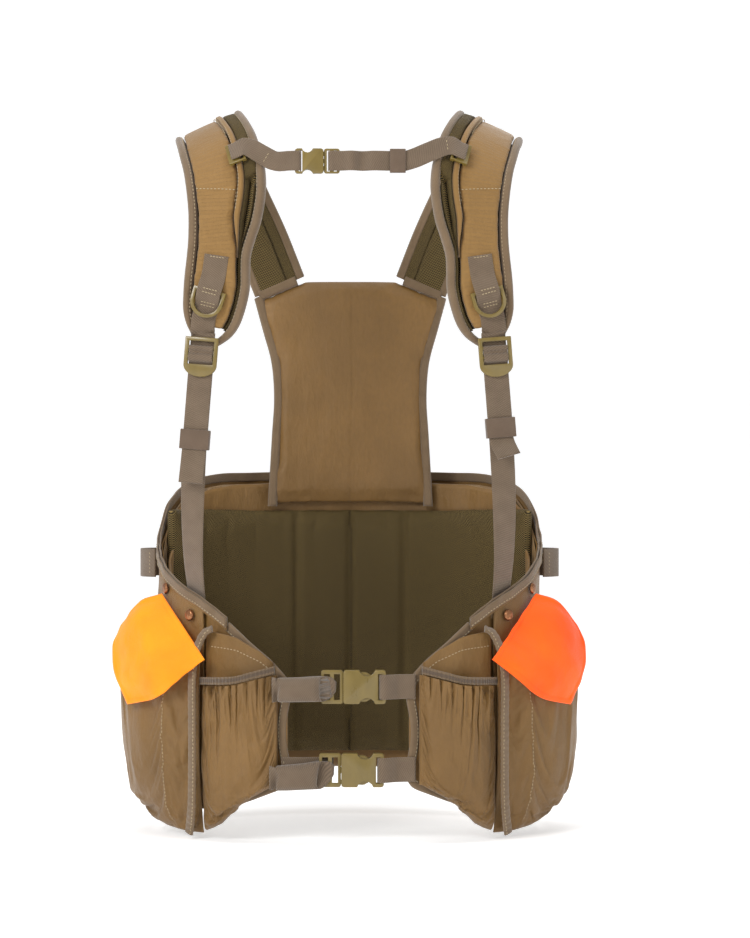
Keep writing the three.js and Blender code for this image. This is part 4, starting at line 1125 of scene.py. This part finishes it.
def make_side_panel(label):
    """The thin padded panel that carries the pockets."""
    side = SIDES[label]
    panel = Around("side_panel_left")
    angles = np.linspace(panel.first + 0.05, panel.last - 0.1, 90)
    low, high = panel.heights(angles)
    share = np.linspace(0, 1, 70)[:, None]
    z = low + (high - low) * share
    outer = 0.0024 + 0.0005 * ripple(hug(angles, z, 0), 0.035, 3)
    grid = mirrored(hug(angles, z, outer), side)
    shell(f"panel_cloth_{label}", grid, 0.0023, "shell_fabric",
          replaced=[f"side_panel_{label}"], slot="shell_fabric")


def make_rear_pouch(label):
    """The flat pouch behind the gathered one, with a stitched top edge."""
    side = SIDES[label]
    pouch = Around("rear_pouch_left")
    angles = np.linspace(pouch.first + 0.1, pouch.last - 0.1, 80)
    low, high = pouch.heights(angles)
    share = np.linspace(0, 1, 90)[:, None]
    across = np.linspace(0, 1, 80)[None, :]
    z = low + (high - low) * share
    depth = pouch.offsets(angles, np.full(80, pouch.middle)).mean()
    seam = np.sqrt(1 - (1 - np.clip(across / 0.12, 0, 1)) ** 2)
    soft = ripple(hug(angles, z, 0), 0.028, 11 + side)
    outer = 0.0055 + (depth - 0.0055) * seam + 0.0016 * soft * share * seam
    grid = mirrored(hug(angles, z, outer), side)
    shell(f"rear_pouch_cloth_{label}", grid, sizes().cloth, "shell_fabric",
          replaced=[f"rear_pouch_{label}"], slot="shell_fabric")
    path = grid[int(0.93 * 89), 4:-3]
    stitches(f"rear_pouch_stitches_{label}", [(path, unit(path * np.array((1, 1, 0))))])


def make_front_pouch(label):
    """The gathered pouch: its cloth is bunched under the elastic and hangs full below it."""
    side = SIDES[label]
    dims = sizes()
    pouch = Around("front_pouch_left")
    columns, rows = 170, 120
    angles = np.linspace(pouch.first - 0.4, pouch.last + 0.2, columns)
    inside = np.clip(angles, pouch.first + 0.3, pouch.last - 0.3)
    low, high = pouch.heights(inside)
    a = np.linspace(0, 1, columns)[None, :]
    b = np.linspace(0, 1, rows)[:, None]
    z = low + (high - low) * b
    coarse = np.linspace(0, rows - 1, 24).astype(int)
    field = np.array([pouch.offsets(inside, z[r]) for r in coarse])
    outer = smooth_rows(blurred(field, 3), np.linspace(0, len(coarse) - 1, rows))
    back = pouch.offsets(inside, np.full(columns, pouch.middle), outside=False).mean() - 0.004
    seam = np.sqrt(1 - (1 - np.clip(a / 0.22, 0, 1)) ** 2)
    seam = seam * (1 - 0.42 * ease(1 - (1 - a) / 0.2))
    hang = 0.35 + 0.65 * np.sqrt(1 - (1 - np.clip(b / 0.1, 0, 1)) ** 2)
    outer = back + (outer - back) * seam * hang
    rest = hug(angles, z, outer)
    bunch = 9.0 * a + 0.45 * ripple(np.stack(np.broadcast_arrays(a * 6, b * 1.2, a * 0 + side), -1), 1.0, 5)
    reach = 0.55 + 0.4 * ripple(np.stack([a * 7, a * 0, a * 0 + side], -1), 1.0, 8)
    fade = ease((b - (1 - reach)) / np.maximum(reach, 0.1)) ** 1.4
    valleys = 1 - 2 * np.abs(np.sin(np.pi * bunch)) ** 0.7
    gathers = -dims.gather * fade * np.clip(valleys, -0.45, 1)
    diagonal = np.stack([rest[..., 0] + 0.5 * rest[..., 2], rest[..., 1], rest[..., 2] * 0.45], -1)
    crumple = 0.0021 * ripple(diagonal, 0.026, 21 + side) + 0.001 * ripple(diagonal, 0.011, 31 + side)
    crumple = crumple * np.clip(a / 0.1, 0, 1) * np.clip(b / 0.06, 0, 1) * (1 - 0.6 * b ** 3)
    grid = hug(angles, z, np.maximum(outer + gathers * seam + crumple, back))
    pins = np.zeros((rows, columns))
    pins[:3] = pins[-3:] = 1
    pins[:, :3] = pins[:, -3:] = 1
    grid = settled(grid, pins, dims.pocket_slack * 0.5, 1.0, 0.05)
    angle, offset = unhug(grid)
    grid = hug(angle, grid[..., 2], np.maximum(offset, back - 0.001))
    grid = mirrored(grid, side)
    shell(f"front_pouch_cloth_{label}", grid, dims.cloth, "shell_fabric",
          replaced=[f"front_pouch_{label}"], slot="shell_fabric")
    make_band(label)


def make_band(label):
    """The elastic band across the pouch's mouth, drawn up in small ripples."""
    side = SIDES[label]
    corners = rings_of(f"pouch_elastic_{label}", (-side, 0.35, 0.0), FORWARD, 1)
    corners[:, :, 0] = corners[:, :, 1] - (corners[:, :, 1] - corners[:, :, 0]) * 0.7

    def drawn(along, across):
        return 0.00045 * np.sin(2 * np.pi * along / 0.0036 + 2.5 * np.sin(along * 160)) + 0 * across

    strip(f"pouch_band_{label}", corners, "band", 0.0007, drawn, fine=0.0008,
          replaced=[f"pouch_elastic_{label}"], slot="elastic")


def make_cargo_pocket(label):
    """The deep bellows pocket: a gusset, a stitched crease and a full, slack front."""
    side = SIDES[label]
    dims = sizes()
    pocket = Around("cargo_pocket_left")
    columns, rows = 150, 110
    angles = np.linspace(pocket.first - 1.2, pocket.last, columns)
    inside = np.clip(angles, pocket.first + 0.3, pocket.last - 0.3)
    low, high = pocket.heights(inside)
    a = np.linspace(0, 1, columns)[None, :]
    b = np.linspace(0, 1, rows)[:, None]
    z = low + (high - low) * b
    coarse = np.linspace(0, rows - 1, 22).astype(int)
    field = np.array([pocket.offsets(inside, z[r]) for r in coarse])
    outer = smooth_rows(blurred(field, 4), np.linspace(0, len(coarse) - 1, rows))
    back = pocket.offsets(inside, np.full(columns, pocket.middle), outside=False) - 0.001
    closing = np.sqrt(1 - (1 - np.clip((1 - a) / 0.12, 0, 1)) ** 2)
    closing = closing * (1 - 0.5 * ease(1 - a / 0.09))
    hang = 0.3 + 0.7 * np.sqrt(1 - (1 - np.clip(b / 0.16, 0, 1)) ** 2)
    outer = back + (outer - back) * closing * hang
    crease = 58.5 + 2.5 * (1 - b)
    ridge = 0.0032 * np.exp(-np.abs(angles - crease) / 1.1)
    valley = -0.0055 * np.exp(-((angles - crease + 4.2) / 2.4) ** 2)
    rest = hug(angles, z, outer)
    drape = np.stack([rest[..., 0], rest[..., 1], rest[..., 2] * 0.5 + 0.25 * rest[..., 0]], -1)
    soft = 0.0042 * ripple(drape, 0.06, 41 + side) + 0.0018 * ripple(drape, 0.024, 51 + side)
    soft = soft * np.clip(b / 0.08, 0, 1) * np.clip((1 - a) / 0.08, 0, 1)
    gusset = ease((angles - pocket.first) / 3)
    outer = outer + (ridge + valley) * gusset * ease(b / 0.1) + soft * gusset
    grid = hug(angles, z, np.maximum(outer, back + 0.0006))
    pins = np.zeros((rows, columns))
    pins[:3] = pins[-2:] = 1
    pins[:, :3] = pins[:, -3:] = 1
    crease_column = np.abs(angles[None, :] - crease) < 0.5
    pins[crease_column] = 0.7
    grid = settled(grid, pins, dims.pocket_slack * 0.6, 1.5, 0.025)
    angle, offset = unhug(grid)
    grid = hug(angle, grid[..., 2], np.maximum(offset, back[None, :] - 0.0005))
    grid = mirrored(grid, side)
    shell(f"cargo_pocket_cloth_{label}", grid, dims.cloth * 1.2, "shell_fabric",
          replaced=[f"cargo_pocket_{label}"], slot="shell_fabric")
    column = [int(np.argmin(np.abs(angles - c))) + 1 for c in crease[:, 0]]
    path = grid[np.arange(rows), column][6:-6]
    out = unit(path * np.array((1, 1, 0)))
    stitches(f"cargo_pocket_stitches_{label}", [(path, out)])


def make_blaze_flap(label):
    """The warning-coloured flap: a single sheet with a turned, puckered edge."""
    side = SIDES[label]
    joint = joint_of("blaze_flap_left")
    hinge = np.array(joint["pos_m"]), np.array(joint["axis"])
    corners = rings_of("blaze_flap_left", (-0.75, -0.5, 0.4), (0.75, -0.66, 0.1), 7, hinge)
    top = mirrored(corners.mean(2), side)
    fine = smooth_rows(top, np.linspace(0, 7, 90))
    fine = smooth_rows(fine.swapaxes(0, 1), np.linspace(0, 7, 90)).swapaxes(0, 1)
    a = np.linspace(0, 1, 90)
    rim = np.minimum(np.minimum(a, 1 - a)[:, None], np.minimum(a, 1 - a)[None, :])
    down, along = a[:, None, None], a[None, :, None]
    rows = fine[0] * (1 - down) + fine[-1] * down
    columns = fine[:, :1] * (1 - along) + fine[:, -1:] * along
    ends = rows[:, :1] * (1 - along) + rows[:, -1:] * along
    flat = rows + columns - ends
    fine = fine * 0.5 + flat * 0.5
    out = unit(np.array((0.75 * side, -0.66, 0.0)))
    sag = 0.0034 * ripple(fine, 0.045, 71 + side) + 0.0008 * ripple(fine, 0.018, 81 + side)
    hem = 0.0007 * ease((0.045 - rim) / 0.012) * (rim > 0.004)
    pucker = 0.0004 * np.sin(240 * (fine[..., 0] + fine[..., 2])) * ease((0.06 - rim) / 0.03)
    grid = fine + out * (sag * ease(rim / 0.1) + hem + pucker)[..., None]
    piece, _ = shell(f"blaze_flap_cloth_{label}", grid, 0.0009, f"blaze_{label}",
                     body=f"blaze_flap_{label}", replaced=[f"blaze_flap_{label}"], slot="blaze_fabric")


def make_seam_tape(label):
    """The tape down the main seam, between the gathered pouch and the bellows pocket."""
    side = SIDES[label]
    corners = mirrored(rings_of("seam_binding_left", (0.29, 0.29, -0.91), (0.66, -0.75, 0.0), 1), side)

    def fold(along, across):
        crown = 0.0006 * np.sin(np.pi * np.clip(across / 0.0105, 0, 1))
        return 0.0016 + crown + 0.0003 * np.sin(along * 900)

    _, face = strip(f"seam_tape_{label}", corners, "binding_tape", 0.0014, fold, fine=0.0009,
                    replaced=[f"seam_binding_{label}"], slot="binding_tape")
    stitches(f"seam_stitches_{label}", [face.line(0.2)])


def make_panel_edge(label):
    """The tape round the panel's front edge, from its top corner down to the pouch's foot."""
    side = SIDES[label]
    panel = Around("side_panel_left")
    top_angles = np.linspace(41, panel.first + 0.2, 24)
    low_angles = np.linspace(panel.first + 0.2, 40, 16)
    high = panel.heights(top_angles[::-1])[1][::-1]
    low, _ = panel.heights(low_angles)
    front_z = np.linspace(high[-1], low[0], 14)[1:-1]
    path = np.concatenate([
        hug(top_angles, high + 0.002, 0.0014),
        hug(panel.first - 0.2 + 2.2 * np.sin(np.linspace(0, np.pi, len(front_z))), front_z + 0.002, 0.0014),
        hug(low_angles, low - 0.0005, 0.0012),
    ])
    for _ in range(3):
        path[1:-1] = 0.25 * path[:-2] + 0.5 * path[1:-1] + 0.25 * path[2:]
    out = unit(path * np.array((1 / 0.188 ** 2, 1 / 0.125 ** 2, 0)))
    run = unit(np.gradient(path, axis=0))
    across = unit(np.cross(out, run))
    corners = np.empty((len(path), 2, 2, 3))
    for column, reach in enumerate((-0.0046, 0.0046)):
        for face, height in enumerate((-0.0023, 0.0026)):
            corners[:, column, face] = path + across * reach + out * height
    corners = mirrored(corners, side)
    _, face = strip(f"panel_edge_tape_{label}", corners, "binding_tape", 0.0014, fine=0.0009,
                    body="harness", slot="binding_tape")
    stitches(f"panel_edge_stitches_{label}", [face.line(0.8)], outward=FORWARD)


def make_game_bag():
    """The bag round the back: one cloth that runs down inside, under and up outside."""
    bag = Around("game_bag")
    angles = np.linspace(bag.first + 0.2, bag.last - 0.2, 230)
    low, high = bag.heights(angles)
    inner = bag.offsets(angles, np.full(len(angles), bag.middle), outside=False)
    outer = bag.offsets(angles, np.full(len(angles), bag.middle))
    outer = np.convolve(np.pad(outer, 4, "edge"), np.ones(9) / 9, "valid")
    span = np.abs(angles - 180) / 130
    rows = []
    up = np.linspace(0, 1, 70)
    for t in up[::-1]:
        z = low + 0.006 + (high - low - 0.006) * t
        rows.append((z, inner + 0.0016 + 0 * t))
    for t in np.linspace(0, 1, 16)[1:-1]:
        rows.append((low + 0.003 - 0.003 * np.sin(np.pi * t), inner + 0.002 + (outer - inner - 0.003) * t))
    for t in up:
        z = low + 0.004 + (high - low - 0.004) * t
        rows.append((z, outer - 0.001 + 0 * t))
    z = np.array([r[0] for r in rows])
    offset = np.array([r[1] for r in rows])
    spots = hug(angles[None, :], z, offset)
    t = np.linspace(0, 1, len(rows))[:, None]
    outside = ease((t - 0.52) / 0.06)
    sag = np.stack([spots[..., 0], spots[..., 1], spots[..., 2] * 0.6], -1)
    soft = 0.0032 * ripple(sag, 0.07, 91) + 0.0014 * ripple(sag, 0.026, 92)
    lining = 0.0007 * ripple(spots, 0.022, 93)
    rim = np.clip((1 - t) / 0.05, 0, 1)
    bulge = 0.004 * np.sin(np.pi * np.clip((t - 0.55) / 0.45, 0, 1)) * (span < 0.55)
    move = outside * (soft * rim + bulge * 0.5) + (1 - outside) * np.clip(lining, 0, 1)
    grid = hug(angles[None, :], z, offset + move)
    points = grid[::-1]
    shell("game_bag_cloth", points, 0.0013, "shell_fabric", replaced=["game_bag"], slot="shell_fabric")
    make_bag_lining(angles, low, high, outer)


def make_bag_lining(angles, low, high, outer):
    """The shiny coated lining inside the bag's outer wall."""
    share = np.linspace(0.03, 1, 90)[:, None]
    z = low + (high - low) * share
    spots = hug(angles[None, :], z, outer[None, :])
    folds = np.stack([spots[..., 0] * 1.2, spots[..., 1] * 1.2, spots[..., 2] * 0.8], -1)
    wrinkle = 0.0022 * np.abs(ripple(folds, 0.03, 95)) + 0.0009 * np.abs(ripple(folds, 0.012, 96))
    inner = outer[None, :] - 0.0062 - wrinkle * np.clip((1 - share) / 0.06, 0, 1)
    grid = hug(angles[None, :], z, inner)
    shell("game_bag_lining", grid, 0.0006, "lining", body="harness", slot="shell_fabric")


def make_bag_rim():
    """The doubled tape round the bag's mouth: two edges with a gap between them."""
    corners = rings_of("bag_rim_binding", (-0.3, -0.95, 0.0), (-0.57, -0.82, 0.0), 1)
    corners = corners[:, ::-1]
    inner, outer = corners[:, :, 0], corners[:, :, 1]
    gap = outer - inner
    core = corners.copy()
    core[:, :, 0], core[:, :, 1] = inner + gap * 0.3, inner + gap * 0.62
    core[..., 2] -= 0.0028
    strip("bag_rim_core", core, "shell_fabric", 0.003, body="harness", slot="shell_fabric")
    for name, near, far, rise in (("bag_rim_outer", 0.55, 1.0, 0.0), ("bag_rim_inner", 0.0, 0.36, 0.0016)):
        pair = np.stack([inner + gap * near, inner + gap * far], 2)
        pair[..., 2] += rise

        def wavy(along, across, amount=0.0004):
            return amount * np.sin(along * 210 + 2 * np.sin(along * 47)) + 0 * across

        replaced = ["bag_rim_binding"] if near else []
        _, face = strip(name, pair, "binding_tape", 0.002, wavy, fine=0.0012, replaced=replaced,
                        slot="binding_tape")
        if near:
            stitches("bag_rim_stitches", [face.line(0.8)])


BACK_VOXEL = 0.0045
BACK_PRESSURE = 3.0
BACK_CHANNELS = (0.0, 0.058)  # distances of the back pad's sewn channels from its middle line
CHANNEL_HALF = 0.0042
CHANNEL_DEPTH = 0.0045


def channelled(pad, at, depth):
    """Presses upright sewn channels into a pad, at distances from its middle line."""
    points = np.array([v.co for v in pad.data.vertices])
    angle, offset = unhug(points)
    middle = (offset.min() + offset.max()) / 2
    pressed = offset.copy()
    for x in at:
        near = np.exp(-((np.abs(points[:, 0]) - x) / CHANNEL_HALF) ** 2) * (points[:, 1] > 0)
        pressed -= np.clip(offset - middle, -depth, depth) * near
    moved = hug(angle, points[:, 2], pressed)
    pad.data.vertices.foreach_set("co", moved.astype(np.float32).ravel())
    pad.data.update()


def make_back():
    """The padded back panel and the yoke between the strap ends."""
    kinds = (("back_panel", "back_pad", "lining_mesh"), ("back_yoke", "yoke_pad", "shell_fabric"))
    for node, name, finish in kinds:
        pad = filled_pad(name, [node], BACK_VOXEL, BACK_PRESSURE, sizes().pad_swell)
        if node == "back_panel":
            channelled(pad, BACK_CHANNELS, CHANNEL_DEPTH)
        dressed(pad, finish, "harness", [node])
    make_yoke_binding()
    for label in SIDES:
        make_strap_end(label)


def make_yoke_binding():
    """Tape down both sides of the yoke."""
    corners = rings_of("back_yoke", (0.0, -0.1, 1.0), BACKWARD, 8)
    middle = corners.mean(2, keepdims=True)
    for name, edge, inner in (("yoke_binding_a", 0, 1), ("yoke_binding_b", 8, 7)):
        run = unit(corners[:, edge] - corners[:, inner])
        near = corners[:, edge] + run * 0.0022
        far = corners[:, edge] - run * 0.0085
        pair = np.stack([far, near], 1)
        core = middle[:, edge:edge + 1]
        pair = core + (pair - core) * np.array((1.0, 1.06, 1.0))
        _, face = strip(name, pair, "binding_tape", 0.003, fine=0.0012, body="harness", slot="binding_tape")
        stitches(f"{name}_stitches", [face.line(0.14)], outward=BACKWARD)


def make_strap_end(label):
    """The bound seam between a strap's back end and the yoke."""
    rings = strap_rings("strap_mesh_lining", label, 3)
    end, before = rings[0], rings[1]
    ahead = unit((end - before).mean((0, 1)))
    first, last = end[0].mean(0), end[-1].mean(0)
    across = unit(last - first)
    out = unit(np.cross(across, ahead))
    out = out * np.sign(out[1])
    base = end[:, 0] if (end[0, 1] - end[0, 0]) @ out > 0 else end[:, 1]
    share = np.linspace(-0.13, 1.02, 14)[:, None]
    line = base[0] + (base[-1] - base[0]) * share
    pair = np.empty((14, 2, 2, 3))
    for column, reach in enumerate((-0.0062, 0.0068)):
        for face, height in enumerate((-0.0012, 0.0112)):
            pair[:, column, face] = line + ahead * reach + out * height
    _, face = strip(f"strap_end_seam_{label}", pair, "binding_tape", 0.003, fine=0.0012, body="harness",
                    slot="binding_tape")
    stitches(f"strap_end_stitches_{label}", [face.line(0.3), face.line(0.7)], outward=BACKWARD)


def make_side_loop(label):
    """The webbing loop that stands off the bag's rim."""
    side = SIDES[label]
    corners = rings_of(f"side_loop_{label}", (0.1 * side, -1.0, 0.0), (side, 0.0, 0.0), 1)
    _, face = strip(f"side_loop_tape_{label}", corners, "webbing", 0.0016,
                    replaced=[f"side_loop_{label}"], slot="webbing")
    stitches(f"side_loop_stitches_{label}", [face.crossing(0.12), face.crossing(0.88)])


# ---------------------------------------------------------------- stage


FLOOR_SIZE = 14.0
FLOOR_BACK = 2.0
FLOOR_GAP = 0.004
WALL_HEIGHT = 8.0
SWEEP_RADIUS = 2.5
SKY_STRENGTH = 0.55
LIT_SPOT = (0, 0, -0.35)
LIGHTS = (
    ("key", (-2.0, -2.6, 1.2), 75.0, 1.3),
    ("fill", (2.4, -2.4, 0.4), 18.0, 2.0),
    ("top", (0.0, -0.2, 2.4), 30.0, 1.2),
    ("back", (0.8, 2.6, 1.0), 14.0, 1.6),
)
SENSOR = 36.0
CAMERA_DISTANCE = 3.0
CAMERA_AIM = (0.027, -0.13, -0.325)
VIEW_HEIGHT = 0.947  # of what the camera sees at CAMERA_AIM


def make_stage():
    """A pale floor that curves up behind, soft lights and the camera."""
    ground = CAD_BOX[0].z - FLOOR_GAP
    bpy.ops.object.select_all(action="DESELECT")
    bpy.ops.mesh.primitive_plane_add(size=FLOOR_SIZE, location=(0, FLOOR_BACK, ground))
    floor = bpy.context.object
    floor.name = "floor"
    bpy.ops.object.mode_set(mode="EDIT")
    bpy.ops.mesh.select_mode(type="EDGE")
    bpy.ops.mesh.select_all(action="DESELECT")
    bpy.ops.object.mode_set(mode="OBJECT")
    for edge in floor.data.edges:
        edge.select = all(floor.data.vertices[k].co.y > 0 for k in edge.vertices)
    bpy.ops.object.mode_set(mode="EDIT")
    bpy.ops.mesh.extrude_region_move(TRANSFORM_OT_translate={"value": (0, 0, WALL_HEIGHT)})
    bpy.ops.object.mode_set(mode="OBJECT")
    bpy.ops.object.transform_apply(location=True, rotation=True, scale=True)
    curve = floor.modifiers.new("sweep", "BEVEL")
    curve.width, curve.segments = SWEEP_RADIUS, 16
    floor.data.materials.append(finish_of("floor"))
    for name, place, power, span in LIGHTS:
        light = bpy.data.lights.new(name, "AREA")
        light.energy, light.size = power, span
        lamp = bpy.data.objects.new(name, light)
        bpy.context.scene.collection.objects.link(lamp)
        lamp.location = place
        lamp.rotation_mode = "QUATERNION"
        lamp.rotation_quaternion = (Vector(LIT_SPOT) - Vector(place)).to_track_quat("-Z", "Y")
    world = bpy.data.worlds.new("studio")
    bpy.context.scene.world = world
    world.use_nodes = True
    sky = world.node_tree.nodes["Background"]
    sky.inputs["Color"].default_value = (1, 1, 1, 1)
    sky.inputs["Strength"].default_value = SKY_STRENGTH
    make_camera()
    bpy.context.scene.view_settings.view_transform = "Standard"


def make_camera():
    data = bpy.data.cameras.new("camera")
    data.sensor_width = SENSOR
    data.lens = SENSOR * CAMERA_DISTANCE / VIEW_HEIGHT
    camera = bpy.data.objects.new("camera", data)
    bpy.context.scene.collection.objects.link(camera)
    aim = Vector(CAMERA_AIM)
    camera.location = aim + Vector((0, -CAMERA_DISTANCE, 0))
    camera.rotation_euler = (math.radians(90), 0, 0)
    bpy.context.scene.camera = camera


# ---------------------------------------------------------------- operators


class VEST_OT_straps(bpy.types.Operator):
    """Pads, mesh, folds and bindings of the two shoulder straps"""

    bl_idname = "vest.straps"
    bl_label = "Shoulder straps"

    def execute(self, context):
        for label in SIDES:
            rings = make_strap_pads(label)
            make_strap_face_stitching(label, rings)
            make_strap_lining(label)
            make_strap_fold(label)
            make_strap_binding(label)
        return {"FINISHED"}


class VEST_OT_strap_webbing(bpy.types.Operator):
    """Anchor and adjuster webbing under the straps"""

    bl_idname = "vest.strap_webbing"
    bl_label = "Strap webbing"

    def execute(self, context):
        for label in SIDES:
            make_strap_webbing(label)
        return {"FINISHED"}


class VEST_OT_fittings(bpy.types.Operator):
    """Buckles, clips, rings and locks"""

    bl_idname = "vest.fittings"
    bl_label = "Moulded fittings"

    def execute(self, context):
        for node in FITTINGS:
            polish(node, "buckle_plastic")
        return {"FINISHED"}


class VEST_OT_snaps(bpy.types.Operator):
    """The four copper-coloured snaps"""

    bl_idname = "vest.snaps"
    bl_label = "Snaps"

    def execute(self, context):
        for label in SIDES:
            for place in ("front", "rear"):
                polish(f"snap_{place}_{label}", "snap_metal")
        return {"FINISHED"}


class VEST_OT_sternum_strap(bpy.types.Operator):
    """Webbing and keeper of the chest strap"""

    bl_idname = "vest.sternum_strap"
    bl_label = "Chest strap"

    def execute(self, context):
        make_sternum_strap()
        return {"FINISHED"}


class VEST_OT_waist_straps(bpy.types.Operator):
    """Webbing of the two waist straps"""

    bl_idname = "vest.waist_straps"
    bl_label = "Waist straps"

    def execute(self, context):
        for level in ("upper", "lower"):
            make_waist_strap(level)
        return {"FINISHED"}


class VEST_OT_panels(bpy.types.Operator):
    """Side panels and the tape round their front edges"""

    bl_idname = "vest.panels"
    bl_label = "Side panels"

    def execute(self, context):
        for label in SIDES:
            make_side_panel(label)
            make_panel_edge(label)
        return {"FINISHED"}


class VEST_OT_pouches(bpy.types.Operator):
    """Flat rear pouches and gathered front pouches"""

    bl_idname = "vest.pouches"
    bl_label = "Pouches"

    def execute(self, context):
        for label in SIDES:
            make_rear_pouch(label)
            make_front_pouch(label)
        return {"FINISHED"}


class VEST_OT_cargo_pockets(bpy.types.Operator):
    """Bellows pockets and the tape on the seam before them"""

    bl_idname = "vest.cargo_pockets"
    bl_label = "Bellows pockets"

    def execute(self, context):
        for label in SIDES:
            make_cargo_pocket(label)
            make_seam_tape(label)
        return {"FINISHED"}


class VEST_OT_flaps(bpy.types.Operator):
    """Warning-coloured flaps"""

    bl_idname = "vest.flaps"
    bl_label = "Flaps"

    def execute(self, context):
        for label in SIDES:
            make_blaze_flap(label)
        return {"FINISHED"}


class VEST_OT_game_bag(bpy.types.Operator):
    """Game bag, its lining, its rim and its side loops"""

    bl_idname = "vest.game_bag"
    bl_label = "Game bag"

    def execute(self, context):
        make_game_bag()
        make_bag_rim()
        for label in SIDES:
            make_side_loop(label)
        return {"FINISHED"}


class VEST_OT_back(bpy.types.Operator):
    """Padded back panel and yoke"""

    bl_idname = "vest.back"
    bl_label = "Back and yoke"

    def execute(self, context):
        make_back()
        return {"FINISHED"}


class VEST_OT_stage(bpy.types.Operator):
    """Floor, lights and camera"""

    bl_idname = "vest.stage"
    bl_label = "Stage"

    def execute(self, context):
        make_stage()
        return {"FINISHED"}


MAKERS = (VEST_OT_straps, VEST_OT_strap_webbing, VEST_OT_fittings, VEST_OT_snaps, VEST_OT_sternum_strap,
          VEST_OT_waist_straps, VEST_OT_panels, VEST_OT_pouches, VEST_OT_cargo_pockets, VEST_OT_flaps,
          VEST_OT_game_bag, VEST_OT_back, VEST_OT_stage)


class VEST_PT_panel(bpy.types.Panel):
    """Makes the vest piece by piece, and holds its sizes and colours"""

    bl_label = "Strap vest"
    bl_idname = "VEST_PT_panel"
    bl_space_type = "VIEW_3D"
    bl_region_type = "UI"
    bl_category = "Vest"

    def draw(self, context):
        for maker in MAKERS:
            self.layout.operator(maker.bl_idname)
        for group in (context.scene.vest_sizes, context.scene.vest_colours):
            box = self.layout.box()
            for key in group.__annotations__:
                box.prop(group, key)


CLASSES = (VestSizes, VestColours, *MAKERS, VEST_PT_panel)


def register():
    for cls in CLASSES:
        bpy.utils.register_class(cls)
    bpy.types.Scene.vest_sizes = PointerProperty(type=VestSizes)
    bpy.types.Scene.vest_colours = PointerProperty(type=VestColours)


def unregister():
    del bpy.types.Scene.vest_colours
    del bpy.types.Scene.vest_sizes
    for cls in reversed(CLASSES):
        bpy.utils.unregister_class(cls)


def main():
    register()
    for maker in MAKERS:
        group, operator = maker.bl_idname.split(".")
        getattr(getattr(bpy.ops, group), operator)()


if __name__ == "__main__":
    main()
